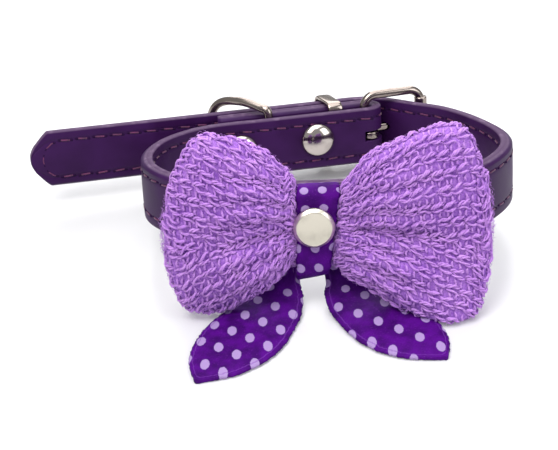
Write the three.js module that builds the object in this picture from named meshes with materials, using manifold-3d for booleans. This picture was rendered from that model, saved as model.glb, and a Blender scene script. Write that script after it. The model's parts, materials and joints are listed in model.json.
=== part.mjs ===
// Pet bow tie collar: a stitched leather strap buckled into a loop, with a knitted bow, a dotted knot
// and two dotted tails fixed on its front by a snap. Millimetres, +Z up. It lies as it rests by itself,
// on the buckle at the back and on the bow and its tails at the front.
import * as THREE from 'three';
import { mergeVertices } from 'three/addons/utils/BufferGeometryUtils.js';
import Module from 'manifold-3d';

const wasm = await Module();
wasm.setup();

// Strap
const gap = 0.3;              // clearance between neighbouring pieces
const strapWidth = 15;
const strapThick = 3;
const edgeRadius = 0.9;       // rounding of the strap's long edges
const loopWidth = 91.3;       // outside of the loop, from side to side
const loopShift = -1.6;       // middle of the loop, from the collar's own origin
const frontReach = 27.8;      // origin to the middle of the strap at the front
const backReach = 30.3;       // origin to the buckle's heel bar
const backTurn = 11.8;        // degrees that the layered back runs off the X axis
const tailLength = 87.9;      // heel bar to the tip of the free end
const tipLength = 4.6;        // pointed end of the strap
const tipBlunt = 2.6;         // half height of the blunt point
const tailStandoff = 1.2;     // free end's distance from the layer that it lies on
const foldedLength = 38.6;    // heel bar to the cut end of the folded layer
const holePitch = 10;         // punched holes
const holeCount = 5;
const holeRadius = 1.2;
const collarTilt = 8.3;       // degrees that the front is raised

// Buckle, keeper and ring
const wireRadius = 1.15;
const buckleAcross = 22;      // height of the frame, outside
const bucklePitch = 15.9;     // heel bar to far bar
const sleeveRadius = 1.7;     // thicker middle of the far bar
const buckleTurn = 15;        // degrees of the frame off the X axis
const buckleCorner = 3.4;     // bend radius of the frame's wire
const heelX = 9.6;            // heel bar, from the collar's own origin
const tongueWidth = 1.8;
const tongueThick = 1.1;
const tongueTip = 2.2;        // what the tongue reaches past the far bar
const keeperThick = 0.9;
const keeperLength = 3.8;     // along the strap
const keeperSkew = 0.15;      // sideways run for each millimetre outwards
const keeperAt = -7.7;        // from the heel bar, along the strap
const ringAt = -25.7;         // the ring's bar, from the heel bar
const ringBelly = 10.1;       // half the ring's height where it is widest
const ringBar = 9.15;         // half the height of its straight bar
const ringReach = 18.6;       // bar to the far end, between wire middles

// Rivets and snap
const rivetNear = -13.9;      // from the heel bar, on either side of the ring's bar
const rivetFar = -34.2;
const rivets = [
  { name: 'rivet_a', at: rivetNear, up: 0.8 },
  { name: 'rivet_b', at: rivetFar, up: 0 },
];
const rivetDome = 4.4;        // radius
const rivetRise = 2.3;
const rivetBack = 3.9;
const rivetPost = 1.5;
const plateThick = 0.6;
const snapX = -5.9;
const snapRadius = 4.8;
const snapThick = 1.8;
const snapBevel = 0.6;
const snapPost = 1.9;
const snapSocket = 2.4;       // depth of the cap's hole for the stud
const studPost = 1.1;
const studFlange = 4.4;

// Bow, knot and tails
const leftReach = 34.4;       // snap to the outer end of each lobe
const rightReach = 40.5;
const bowHeight = 48.6;
const lobeThick = 12;
const knitWall = 2.2;
const waistThick = 3.2;
const creaseDepth = 2.6;
const gatherDepth = 0.45;
const gatherCount = 7;        // gathers across the height of a lobe
const slitHeight = 8;         // turning slit in the back of each lobe
const slitWidth = 0.9;
const bandThick = 1.2;
const bandTop = 8.6;          // knot's upper and lower edge, from the snap
const bandFoot = -13.6;
const bandWidthTop = 10.4;
const bandWidthFoot = 7.8;
const bandLean = 2;           // sideways run of the knot from its foot to its top
const satinThick = 1.1;       // both layers of a dotted tail
const leafWidth = 20.4;
const rootWidth = 9;          // both tails together, behind the knot
// Each tail: its length, its way from straight to the front in degrees, and its root's place from the snap.
const leaves = {
  left: { side: -1, length: 41.7, spread: 34.4, root: 5.6 },
  right: { side: 1, length: 38.8, spread: 40.3, root: 4.1 },
};

const sliver = 0.03;          // edges shorter than this are closed up after a cut
const rad = THREE.MathUtils.degToRad;
const tilt = rad(collarTilt);
const layerGap = 2 * (wireRadius + gap + 0.05);           // between the layers that hold the bars
const foldRadius = (layerGap + strapThick) / 2;           // middle of the strap round the heel bar
const wallFace = layerGap / 2 + strapThick;               // heel bar's line to either face of the layers
const tailOffset = wallFace + tailStandoff + strapThick / 2;
const strapHalf = strapWidth / 2;
const frameHalf = buckleAcross / 2 - wireRadius;
const lift = frameHalf * Math.cos(tilt) + wireRadius
  + (backReach + bucklePitch * Math.sin(rad(buckleTurn))) * Math.sin(tilt);

// A closed body from rings of points: neighbouring rings are joined, and the ends are capped or joined.
function skin(rings, joined = false) {
  const count = rings[0].length;
  const places = rings.flat().flatMap((p) => [p.x, p.y, p.z]);
  const faces = [];
  const last = joined ? rings.length : rings.length - 1;
  for (let i = 0; i < last; i += 1) {
    const here = i * count;
    const there = ((i + 1) % rings.length) * count;
    for (let j = 0; j < count; j += 1) {
      const k = (j + 1) % count;
      faces.push(here + j, here + k, there + k, here + j, there + k, there + j);
    }
  }
  if (!joined) {
    for (const [ring, flipped] of [[0, true], [rings.length - 1, false]]) {
      const middle = rings[ring].reduce((sum, p) => sum.add(p), new THREE.Vector3()).divideScalar(count);
      const centre = places.length / 3;
      places.push(middle.x, middle.y, middle.z);
      for (let j = 0; j < count; j += 1) {
        const a = ring * count + j;
        const b = ring * count + (j + 1) % count;
        faces.push(...(flipped ? [centre, b, a] : [centre, a, b]));
      }
    }
  }
  const shape = new THREE.BufferGeometry();
  shape.setAttribute('position', new THREE.Float32BufferAttribute(places, 3));
  shape.setIndex(faces);
  return facedOut(shape);
}

// Signed volume tells which way the faces point; a body that is inside out is turned.
function facedOut(shape) {
  const at = shape.attributes.position;
  const index = shape.index.array;
  const [a, b, c] = [0, 1, 2].map(() => new THREE.Vector3());
  let volume = 0;
  for (let i = 0; i < index.length; i += 3) {
    a.fromBufferAttribute(at, index[i]);
    b.fromBufferAttribute(at, index[i + 1]);
    c.fromBufferAttribute(at, index[i + 2]);
    volume += a.dot(b.cross(c));
  }
  if (volume < 0) {
    for (let i = 0; i < index.length; i += 3) [index[i], index[i + 1]] = [index[i + 1], index[i]];
  }
  return shape;
}

function solid(shape) {
  let bare = shape.clone();
  for (const name of Object.keys(bare.attributes)) if (name !== 'position') bare.deleteAttribute(name);
  bare = mergeVertices(bare, 1e-4);
  return new wasm.Manifold(new wasm.Mesh({
    numProp: 3,
    vertProperties: new Float32Array(bare.attributes.position.array),
    triVerts: new Uint32Array(bare.index.array),
  }));
}

function geometry(body) {
  const mesh = body.getMesh();
  const shape = new THREE.BufferGeometry();
  shape.setAttribute('position', new THREE.BufferAttribute(mesh.vertProperties.slice(), 3));
  shape.setIndex(new THREE.BufferAttribute(mesh.triVerts.slice(), 1));
  return shape;
}

function piece(name, shape, colour, roughness, metalness) {
  const drawn = shape.clone();
  drawn.computeVertexNormals();
  const mesh = new THREE.Mesh(drawn, new THREE.MeshStandardMaterial({ color: colour, roughness, metalness }));
  mesh.name = name;
  return mesh;
}

const leather = (name, shape) => piece(name, shape, 0x3a1a50, 0.5, 0);
const metal = (name, shape) => piece(name, shape, 0xb9b2a8, 0.3, 1);
const knit = (name, shape) => piece(name, shape, 0xb67ae0, 0.95, 0);
const satin = (name, shape) => piece(name, shape, 0x560d88, 0.6, 0);

// A point of the layered back: along the strap from the heel bar, and outwards from the bar's line.
function back(along, out) {
  const turn = rad(backTurn);
  return new THREE.Vector2(
    heelX + along * Math.cos(turn) - out * Math.sin(turn),
    backReach + along * Math.sin(turn) + out * Math.cos(turn),
  );
}

// A point in the buckle's own plane: along from the heel bar to the far bar, and outwards.
function atBuckle(along, out) {
  const turn = rad(buckleTurn);
  return new THREE.Vector2(
    heelX + along * Math.cos(turn) - out * Math.sin(turn),
    backReach + along * Math.sin(turn) + out * Math.cos(turn),
  );
}

// A cylinder between two points of the plan, or a standing one at a point.
function bar(from, to, radius, sides = 16) {
  const length = from.distanceTo(to);
  const turn = Math.atan2(to.y - from.y, to.x - from.x);
  return new THREE.CylinderGeometry(radius, radius, length, sides)
    .rotateZ(Math.PI / 2 + turn)
    .translate((from.x + to.x) / 2, (from.y + to.y) / 2, 0);
}

function standing(at, radius, height, sides = 24) {
  return new THREE.CylinderGeometry(radius, radius, height, sides).rotateX(Math.PI / 2).translate(at.x, at.y, 0);
}

// The loop's plan, from beside the far bar round the front to the left of the back. across is a share of
// half the loop's width; deep is a share of frontReach where it is negative and of backReach elsewhere.
const loopTable = [
  { across: 0.713, deep: 0.839 },
  { across: 0.869, deep: 0.544 },
  { across: 0.990, deep: 0.141 },
  { across: 0.999, deep: -0.191 },
  { across: 0.918, deep: -0.522 },
  { across: 0.775, deep: -0.800 },
  { across: 0.560, deep: -0.955 },
  { across: 0.200, deep: -1.000 },
  { across: -0.190, deep: -1.000 },
  { across: -0.530, deep: -0.950 },
  { across: -0.797, deep: -0.737 },
  { across: -0.963, deep: -0.399 },
  { across: -1.001, deep: -0.080 },
  { across: -0.940, deep: 0.262 },
  { across: -0.795, deep: 0.505 },
];

function loopPoint({ across, deep }) {
  const half = (loopWidth - strapThick) / 2;
  return new THREE.Vector2(loopShift + across * half, deep * (deep < 0 ? frontReach : backReach));
}

// The strap's middle line in plan, from the tip of the free end to the cut end of the folded layer.
function strapLine() {
  const points = [
    back(-tailLength, tailOffset),
    back(-tailLength * 0.7, tailOffset),
    back(-tailLength * 0.4, tailOffset),
    back(-tailLength * 0.12, tailOffset),
    back(-0.2 * foldRadius, tailOffset),
    back(1.45 * foldRadius, foldRadius + 0.95 * strapThick),
    atBuckle(0.5 * bucklePitch, 0.88 * foldRadius),
    atBuckle(0.83 * bucklePitch, -(sleeveRadius + gap + 0.6 * strapThick)),
    ...loopTable.map(loopPoint),
    back(-foldedLength - strapThick, -foldRadius),
    back(-foldedLength * 0.7, -foldRadius),
    back(-foldedLength * 0.35, -foldRadius),
    back(0, -foldRadius),
  ];
  const curve = new THREE.CatmullRomCurve3(points.map((p) => new THREE.Vector3(p.x, p.y, 0)), false, 'centripetal');
  const steps = 110;
  const line = curve.getSpacedPoints(steps).map((p) => new THREE.Vector2(p.x, p.y));
  const foldSteps = 8;
  for (let i = 1; i <= foldSteps; i += 1) {
    const turn = Math.PI * (i / foldSteps - 0.5);
    line.push(back(foldRadius * Math.cos(turn), foldRadius * Math.sin(turn)));
  }
  const layerSteps = 4;
  for (let i = 1; i <= layerSteps; i += 1) line.push(back((-foldedLength * i) / layerSteps, foldRadius));
  return line;
}

// The strap's section: its long edges are rounded, and its height can be less than the strap's width.
function strapSection(half) {
  const flat = strapThick / 2;
  const round = Math.min(edgeRadius, flat * 0.9, half * 0.6);
  const bend = [10, 80];
  const corners = [[1, 1, 0], [-1, 1, 90], [-1, -1, 180], [1, -1, 270]];
  return corners.flatMap(([side, end, start]) => bend.map((step) => ({
    out: side * (flat - round) + round * Math.cos(rad(start + step)),
    up: end * (half - round) + round * Math.sin(rad(start + step)),
  })));
}

function makeStrap(line) {
  const tipAt = (i) => line[0].distanceTo(line[i]);
  const rings = line.map((at, i) => {
    const before = line[Math.max(i - 1, 0)];
    const after = line[Math.min(i + 1, line.length - 1)];
    const ahead = after.clone().sub(before).normalize();
    const taper = Math.min(tipAt(i) / tipLength, 1);
    const half = i < line.length / 2 ? THREE.MathUtils.lerp(tipBlunt, strapHalf, taper) : strapHalf;
    return strapSection(half).map(({ out, up }) => (
      new THREE.Vector3(at.x + ahead.y * out, at.y - ahead.x * out, up)));
  });
  let body = solid(skin(rings));
  const cuts = [];
  for (const { at, up } of rivets) {
    cuts.push(bar(back(at, -wallFace - gap), back(at, wallFace + gap), rivetPost + gap).translate(0, 0, up));
  }
  cuts.push(standing(back(0, 0), wallFace + gap / 2, tongueWidth + 3 * gap));
  const shank = [wireRadius + foldRadius, bucklePitch].map((at) => (
    atBuckle(at, tongueFace(at) + tongueThick / 2)));
  cuts.push(bar(...shank, holeRadius));
  for (let i = 1; i < holeCount; i += 1) {
    const at = 0.5 * bucklePitch - holePitch * i;
    cuts.push(bar(back(at, wallFace + gap), back(at, tailOffset + strapThick), holeRadius));
  }
  const front = frontFace(line);
  cuts.push(bar(
    new THREE.Vector2(snapX, front - gap),
    new THREE.Vector2(snapX, front + strapThick + gap),
    studPost + gap,
  ));
  for (const cut of cuts) body = body.subtract(solid(cut));
  return leather('strap', geometry(body));
}

// The Y of the strap's outer face where the snap goes through.
function frontFace(line) {
  const near = line.filter((p) => p.y < 0).sort((a, b) => Math.abs(a.x - snapX) - Math.abs(b.x - snapX));
  return Math.min(near[0].y, near[1].y) - strapThick / 2;
}

// The tongue's inner face, outside the buckle's plane: clear of the heel bar and of the far bar's sleeve.
function tongueFace(along) {
  return gap + THREE.MathUtils.lerp(wireRadius, sleeveRadius, along / bucklePitch);
}

function upright(at, up) {
  return new THREE.Vector3(at.x, at.y, up);
}

function wireLoop(points, steps, sides = 8) {
  const curve = new THREE.CatmullRomCurve3(points, true, 'centripetal');
  return facedOut(mergeVertices(stripped(new THREE.TubeGeometry(curve, steps, wireRadius, sides, true)), 1e-3));
}

function stripped(shape) {
  shape.deleteAttribute('normal');
  shape.deleteAttribute('uv');
  return shape;
}

// The frame: one bent wire through the fold, its far bar outside the strap.
function makeBuckle() {
  const points = [];
  const bendSteps = 4;
  const corners = [
    { along: bucklePitch, up: frameHalf, start: 0 },
    { along: 0, up: frameHalf, start: 90 },
    { along: 0, up: -frameHalf, start: 180 },
    { along: bucklePitch, up: -frameHalf, start: 270 },
  ];
  for (const { along, up, start } of corners) {
    const centre = { along: along + (along ? -buckleCorner : buckleCorner), up: up - Math.sign(up) * buckleCorner };
    for (let i = 0; i <= bendSteps; i += 1) {
      const turn = rad(start + (90 * i) / bendSteps);
      points.push(upright(
        atBuckle(centre.along + buckleCorner * Math.cos(turn), 0),
        centre.up + buckleCorner * Math.sin(turn),
      ));
    }
    if (start % 180 === 0) points.push(upright(atBuckle(bucklePitch / 2, 0), up));
  }
  const sleeve = standing(atBuckle(bucklePitch, 0), sleeveRadius, 2 * (frameHalf - buckleCorner * 0.6), 12);
  return metal('buckle_frame', geometry(solid(wireLoop(points, 52)).add(solid(sleeve))));
}

// The tongue: a flat bar, rolled round the heel bar at one end and resting on the far bar.
function makeTongue() {
  const inner = wireRadius + gap;
  const half = tongueWidth / 2;
  const rollTurn = 270;
  const rollSteps = 10;
  const flat = [];
  for (let i = 0; i <= rollSteps; i += 1) {
    const turn = rad(90 + rollTurn * (1 - i / rollSteps));
    flat.push({ along: Math.cos(turn), out: Math.sin(turn) });
  }
  const rings = flat.map(({ along, out }) => ringOf(
    atBuckle(along * (inner + tongueThick), out * (inner + tongueThick)),
    atBuckle(along * inner, out * inner),
    half,
  ));
  const end = bucklePitch + tongueTip;
  for (const [share, slim] of [[0.85, 1], [1, 0.55]]) {
    const face = tongueFace(end * share);
    rings.push(ringOf(
      atBuckle(end * share, face + tongueThick * (share === 1 ? 0.8 : 1)),
      atBuckle(end * share, face),
      half * slim,
    ));
  }
  return metal('buckle_tongue', skin(rings));
}

function ringOf(outer, inner, half) {
  return [upright(outer, half), upright(inner, half), upright(inner, -half), upright(outer, -half)];
}

// The keeper: a flat band round the folded layer and the free end, its inner leg in the fold.
function makeKeeper() {
  const innerFace = -(keeperThick / 2);
  const outerFace = tailOffset + strapThick / 2 + gap + keeperThick;
  const top = strapHalf + gap + keeperThick;
  const corner = keeperThick * 1.6;
  const centreOut = (innerFace + outerFace) / 2;
  const halfOut = (outerFace - innerFace) / 2;
  const rings = [];
  for (const [side, end, start] of [[1, 1, 0], [-1, 1, 90], [-1, -1, 180], [1, -1, 270]]) {
    for (const step of [0, 30, 60, 90]) {
      const turn = rad(start + step);
      const at = (radius) => ({
        out: centreOut + side * (halfOut - corner) + radius * Math.cos(turn),
        up: end * (top - corner) + radius * Math.sin(turn),
      });
      const [outside, inside] = [at(corner), at(corner - keeperThick)];
      rings.push([[outside, 0.5], [outside, -0.5], [inside, -0.5], [inside, 0.5]].map(([p, share]) => (
        upright(back(keeperAt + share * keeperLength - keeperSkew * p.out, p.out), p.up))));
    }
  }
  return metal('keeper', skin(rings, true));
}

// The ring's outline: reach from its bar, and height. Its far part is a squared oval.
function ringOutline() {
  const corner = 0.12 * ringReach;
  const widest = 0.4 * ringReach;
  const squareness = 0.65;
  const outline = [];
  const arcSteps = 16;
  for (let i = 0; i <= arcSteps; i += 1) {
    const turn = (Math.PI * i) / arcSteps;
    const [along, across] = [Math.sin(turn), Math.cos(turn)];
    outline.push({
      reach: widest + (ringReach - widest) * Math.abs(along) ** squareness,
      up: ringBelly * Math.sign(across) * Math.abs(across) ** squareness,
    });
  }
  outline.push({ reach: corner, up: -ringBar }, { reach: 0, up: corner - ringBar });
  outline.push({ reach: 0, up: 0 }, { reach: 0, up: ringBar - corner }, { reach: corner, up: ringBar });
  return outline;
}

// The ring: its straight bar lies in the fold, and its round end leans on the outside of the free end.
function makeRing() {
  const outline = ringOutline();
  const clearUp = strapHalf + wireRadius + 2 * gap;
  const nearest = Math.min(...outline.filter((p) => p.reach > ringReach / 2 && Math.abs(p.up) < clearUp)
    .map((p) => p.reach));
  const lean = Math.acos((tailOffset + strapThick / 2 + gap + wireRadius) / nearest);
  const points = outline.map(({ reach, up }) => (
    upright(back(ringAt - reach * Math.sin(lean), reach * Math.cos(lean)), up)));
  return metal('d_ring', wireLoop(points, 60));
}

// A round piece turned about a line of the plan; the profile runs along that line from its start.
function turned(profile, from, to, sides) {
  const points = profile.map(([radius, at]) => new THREE.Vector2(radius, at));
  const direction = new THREE.Vector3(to.x - from.x, to.y - from.y, 0).normalize();
  const spin = new THREE.Quaternion().setFromUnitVectors(new THREE.Vector3(0, 1, 0), direction);
  const shape = new THREE.LatheGeometry(points, sides).applyQuaternion(spin).translate(from.x, from.y, 0);
  return facedOut(mergeVertices(stripped(shape), 1e-4));
}

function makeRivet({ name, at, up }) {
  const from = back(at, -wallFace - gap);
  const through = 2 * (wallFace + gap);
  const dome = [];
  const domeSteps = 6;
  for (let i = 0; i <= domeSteps; i += 1) {
    const turn = (Math.PI / 2) * (i / domeSteps);
    dome.push([rivetDome * Math.sin(turn), -rivetRise * Math.cos(turn)]);
  }
  const profile = [
    ...dome,
    [rivetPost, 0],
    [rivetPost, through],
    [rivetBack, through],
    [rivetBack, through + plateThick * 0.6],
    [rivetBack - plateThick * 0.4, through + plateThick],
    [0, through + plateThick],
  ];
  return metal(name, turned(profile, from, back(at, wallFace), 18).translate(0, 0, up));
}

// What lies on the strap at the snap, from its outer face to the front: tails, knot, bow, knot and cap.
function stack(front) {
  const tails = front - gap;
  const bandBack = tails - satinThick - gap;
  const waist = bandBack - bandThick - gap - waistThick / 2;
  const bandFront = waist - waistThick / 2 - gap - bandThick;
  return { tails, bandBack, waist, bandFront, cap: bandFront - gap };
}

function makeSnap(front) {
  const { cap } = stack(front);
  const from = new THREE.Vector2(snapX, front - gap);
  const to = new THREE.Vector2(snapX, cap);
  const reach = from.distanceTo(to);
  const profile = [
    [0, snapSocket],
    [studPost + gap, snapSocket],
    [studPost + gap, 0],
    [snapPost, 0],
    [snapPost, reach],
    [snapRadius, reach],
    [snapRadius, reach + snapThick - snapBevel],
    [snapRadius - snapBevel, reach + snapThick],
    [0, reach + snapThick],
  ];
  const capMesh = metal('snap_cap', turned(profile, from, to, 28));
  const studFrom = new THREE.Vector2(snapX, front + strapThick + gap + plateThick);
  const studReach = studFrom.y - (front - gap) + snapSocket - gap;
  const stud = [
    [0, 0],
    [studFlange - plateThick * 0.5, 0],
    [studFlange, plateThick * 0.5],
    [studFlange, plateThick],
    [studPost, plateThick],
    [studPost, studReach],
    [0, studReach],
  ];
  return [capMesh, metal('snap_stud', turned(stud, studFrom, to, 18))];
}

// Height of the surface that the collar rests on, in the collar's own tilted frame.
function ground(y) {
  return (y * Math.sin(tilt) - lift) / Math.cos(tilt);
}

// The knot's edges at a share of its height, from its foot to its top.
function knotEdge(share, side) {
  const wide = THREE.MathUtils.lerp(bandWidthFoot, bandWidthTop, share) / 2;
  return snapX + bandLean * (share - 0.35) + side * wide;
}

// The lobes' sections from the knot's edge to the outer end. at is a share of that distance, top and bottom
// of half the bow's height, thick and ahead of the lobe's thickness, and lean of the thickness at the foot.
const lobeTable = {
  left: [
    { at: 0.085, top: 0.60, bottom: -0.49, thick: 0.56, ahead: 0.12, lean: 0 },
    { at: 0.184, top: 0.80, bottom: -0.64, thick: 0.80, ahead: 0.22, lean: 0 },
    { at: 0.359, top: 0.94, bottom: -0.80, thick: 0.98, ahead: 0.30, lean: -0.10 },
    { at: 0.557, top: 1.00, bottom: -0.90, thick: 1.00, ahead: 0.32, lean: -0.17 },
    { at: 0.697, top: 0.95, bottom: -0.89, thick: 0.95, ahead: 0.33, lean: -0.17 },
    { at: 0.802, top: 0.82, bottom: -0.83, thick: 0.82, ahead: 0.33, lean: -0.15 },
    { at: 0.913, top: 0.58, bottom: -0.66, thick: 0.60, ahead: 0.33, lean: -0.12 },
    { at: 0.971, top: 0.36, bottom: -0.40, thick: 0.36, ahead: 0.33, lean: -0.08 },
    { at: 1.000, top: 0.13, bottom: -0.12, thick: 0.10, ahead: 0.33, lean: -0.05 },
  ],
  right: [
    { at: 0.075, top: 0.53, bottom: -0.52, thick: 0.54, ahead: 0.12, lean: 0.05 },
    { at: 0.195, top: 0.75, bottom: -0.66, thick: 0.82, ahead: 0.22, lean: 0.16 },
    { at: 0.363, top: 0.87, bottom: -0.82, thick: 0.97, ahead: 0.30, lean: 0.32 },
    { at: 0.543, top: 0.95, bottom: -0.95, thick: 1.00, ahead: 0.32, lean: 0.50 },
    { at: 0.712, top: 0.98, bottom: -1.00, thick: 0.98, ahead: 0.33, lean: 0.58 },
    { at: 0.832, top: 0.91, bottom: -0.93, thick: 0.86, ahead: 0.33, lean: 0.55 },
    { at: 0.916, top: 0.72, bottom: -0.78, thick: 0.66, ahead: 0.33, lean: 0.45 },
    { at: 0.970, top: 0.44, bottom: -0.52, thick: 0.42, ahead: 0.33, lean: 0.30 },
    { at: 1.000, top: 0.16, bottom: -0.18, thick: 0.12, ahead: 0.33, lean: 0.10 },
  ],
};

// One lobe's sections in millimetres, the first of them the waist that the knot holds.
function lobeRows(side) {
  const half = bowHeight / 2;
  const edge = side < 0 ? knotEdge(0, side) - gap : knotEdge(1, side) + gap;
  const end = snapX + side * (side < 0 ? leftReach : rightReach);
  const waist = {
    at: 0, x: edge, top: bandTop - bandThick - gap, bottom: bandFoot + bandThick + gap,
    thick: waistThick, ahead: 0, lean: 0,
  };
  return [waist, ...lobeTable[side < 0 ? 'left' : 'right'].map((row) => ({
    at: row.at,
    x: THREE.MathUtils.lerp(edge, end, row.at),
    top: row.top * half,
    bottom: row.bottom * half,
    thick: row.thick * lobeThick,
    ahead: row.ahead * lobeThick,
    lean: row.lean * lobeThick,
  }))];
}

function lobeRow(rows, at) {
  const next = Math.max(1, rows.findIndex((row) => row.at >= at));
  const [a, b] = [rows[next - 1], rows[next]];
  const share = (at - a.at) / (b.at - a.at);
  return Object.fromEntries(Object.keys(a).map((key) => [key, THREE.MathUtils.lerp(a[key], b[key], share)]));
}

// Whether a place on the surface is on a tail, with a margin for the facets of the lobe above it.
function onLeaf(x, y, front) {
  const margin = 1.8;
  return Object.values(leaves).some((leaf) => {
    const { side, length } = leaf;
    const { foot, spread } = leafFoot(leaf, front);
    const run = ((x - foot.x) * side * Math.sin(spread) - (y - foot.y) * Math.cos(spread)) / length;
    const across = -(x - foot.x) * side * Math.cos(spread) - (y - foot.y) * Math.sin(spread);
    if (run < 0 || run > 1) return false;
    const next = Math.max(1, leafTable.findIndex((row) => row.run >= run));
    const [a, b] = [leafTable[next - 1], leafTable[next]];
    const reach = (key) => (Math.max(a[key], b[key]) * leafWidth) / 2 + margin;
    return across > -reach('back') && across < reach('front');
  });
}

// One section of a lobe: an oval that a crease and the gathers dent, set in by a wall for the hollow, and
// flattened where it rests on the surface or on a tail.
function lobeRing(row, side, front, inset) {
  const { waist } = stack(front);
  const half = bowHeight / 2;
  const middle = (row.top + row.bottom) / 2;
  const tall = (row.top - row.bottom) / 2 - inset;
  const thick = row.thick / 2 - inset;
  const swell = THREE.MathUtils.smoothstep(row.at, 0, 0.2) * (1 - THREE.MathUtils.smoothstep(row.at, 0.35, 0.95));
  const gathered = THREE.MathUtils.smoothstep(row.at, 0, 0.1) * (1 - THREE.MathUtils.smoothstep(row.at, 0.2, 0.7));
  const creaseUp = -half * row.at * (side < 0 ? 0.08 : 0.20);
  const creaseWide = half * (0.12 + 0.14 * row.at);
  const sides = 36;
  const ring = [];
  for (let i = 0; i < sides; i += 1) {
    const turn = (2 * Math.PI * i) / sides;
    const face = Math.cos(turn);
    const z = middle + tall * Math.sin(turn);
    const bulge = Math.sign(face) * Math.abs(face) ** 0.85 * thick;
    const dent = creaseDepth * swell * Math.exp(-(((z - creaseUp) / creaseWide) ** 2));
    const ripple = gatherDepth * gathered * Math.cos((Math.PI * gatherCount * z) / tall);
    const depth = bulge - face * (dent + ripple);
    const y = waist - row.ahead - depth - row.lean * Math.min(0, z / half) ** 2;
    ring.push(new THREE.Vector3(row.x, y, z));
  }
  const low = ring.filter((p) => p.z < ground(p.y) + lobeThick / 4);
  const onTail = low.some((p) => onLeaf(p.x, set(p.x, p.y, ground(p.y)).y, front));
  const rest = inset + (onTail ? satinThick + 2 * gap : 0);
  for (const p of ring) p.z = Math.max(p.z, ground(p.y) + rest);
  return ring;
}

function makeBow(front) {
  const { waist } = stack(front);
  const [left, right] = [lobeRows(-1), lobeRows(1)];
  const body = [left, right].reduce((whole, rows, i) => {
    const side = i ? 1 : -1;
    const [from, to, steps] = [0.15, 0.88, 8];
    const hollow = [];
    for (let step = 0; step <= steps; step += 1) {
      const row = lobeRow(rows, THREE.MathUtils.lerp(from, to, step / steps));
      hollow.push(lobeRing(row, side, front, knitWall));
    }
    const slit = new THREE.BoxGeometry(slitWidth, lobeThick, slitHeight);
    slit.translate(lobeRow(rows, 0.3).x, waist + 0.2 * lobeThick, 0);
    return whole.subtract(solid(skin(hollow))).subtract(solid(slit));
  }, solid(skin([...bowSide(left, -1, front).reverse(), ...bowSide(right, 1, front)])));
  const post = bar(
    new THREE.Vector2(snapX, waist - lobeThick / 2),
    new THREE.Vector2(snapX, waist + lobeThick / 2),
    snapPost + gap,
  );
  return knit('bow', geometry(body.subtract(solid(post)).simplify(sliver)));
}

// A lobe's rings, with one more between two rows that lie far apart.
function bowSide(rows, side, front) {
  return rows.flatMap((row, i) => {
    const next = rows[i + 1];
    const far = next && next.at - row.at > 0.1;
    const between = far ? [lobeRing(lobeRow(rows, (row.at + next.at) / 2), side, front, 0)] : [];
    return [lobeRing(row, side, front, 0), ...between];
  });
}

// The knot: a satin band round the waist, narrower and further left at its foot.
function makeKnot(front) {
  const { bandBack, bandFront } = stack(front);
  const centreY = (bandBack + bandFront) / 2;
  const halfDeep = (bandBack - bandFront) / 2;
  const centreZ = (bandTop + bandFoot) / 2;
  const halfTall = (bandTop - bandFoot) / 2;
  const corner = halfDeep * 0.72;
  const rings = [];
  for (const [side, end, start] of [[1, 1, 0], [-1, 1, 90], [-1, -1, 180], [1, -1, 270]]) {
    for (const step of [0, 22.5, 45, 67.5, 90]) {
      const turn = rad(start + step);
      const at = (radius) => ({
        y: centreY + side * (halfDeep - corner) + radius * Math.cos(turn),
        z: centreZ + end * (halfTall - corner) + radius * Math.sin(turn),
      });
      const [outside, inside] = [at(corner), at(corner - bandThick)];
      rings.push([[outside, 1], [outside, -1], [inside, -1], [inside, 1]].map(([p, edge]) => {
        const x = knotEdge((p.z - bandFoot) / (bandTop - bandFoot), edge);
        return new THREE.Vector3(x, p.y, p.z);
      }));
    }
  }
  const post = solid(bar(
    new THREE.Vector2(snapX, bandFront - bandThick),
    new THREE.Vector2(snapX, bandBack + bandThick),
    snapPost + gap,
  ));
  return satin('knot_band', geometry(solid(skin(rings, true)).subtract(post)));
}

// A tail from the knot's foot to its cut tip. run is a share of its length along the surface, up of the
// height of the knot's foot, front and back of half the leaf's width on either side of its middle line.
const leafTable = [
  { run: 0.00, up: 1.00, front: 0.22, back: 0.22 },
  { run: 0.05, up: 0.62, front: 0.30, back: 0.22 },
  { run: 0.11, up: 0.27, front: 0.50, back: 0.23 },
  { run: 0.19, up: 0.08, front: 0.70, back: 0.28 },
  { run: 0.30, up: 0.00, front: 0.88, back: 0.48 },
  { run: 0.43, up: 0.00, front: 1.02, back: 0.74 },
  { run: 0.55, up: 0.00, front: 1.08, back: 0.86 },
  { run: 0.66, up: 0.00, front: 1.05, back: 0.80 },
  { run: 0.77, up: 0.00, front: 0.92, back: 0.64 },
  { run: 0.87, up: 0.00, front: 0.70, back: 0.42 },
  { run: 0.94, up: 0.00, front: 0.44, back: 0.16 },
  { run: 1.00, up: 0.00, front: 0.20, back: -0.12 },
];

// A point of the collar's own frame, set on the surface: tilted and lifted as the collar is.
function set(x, y, z) {
  return new THREE.Vector3(
    x,
    y * Math.cos(tilt) + z * Math.sin(tilt),
    lift + z * Math.cos(tilt) - y * Math.sin(tilt),
  );
}

// Where a tail comes out below the knot, and the way that it runs from there.
function leafFoot({ side, spread, root }, front) {
  const rootY = stack(front).tails - satinThick / 2;
  return { rootY, spread: rad(spread), foot: set(snapX + side * root, rootY, bandFoot) };
}

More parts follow.
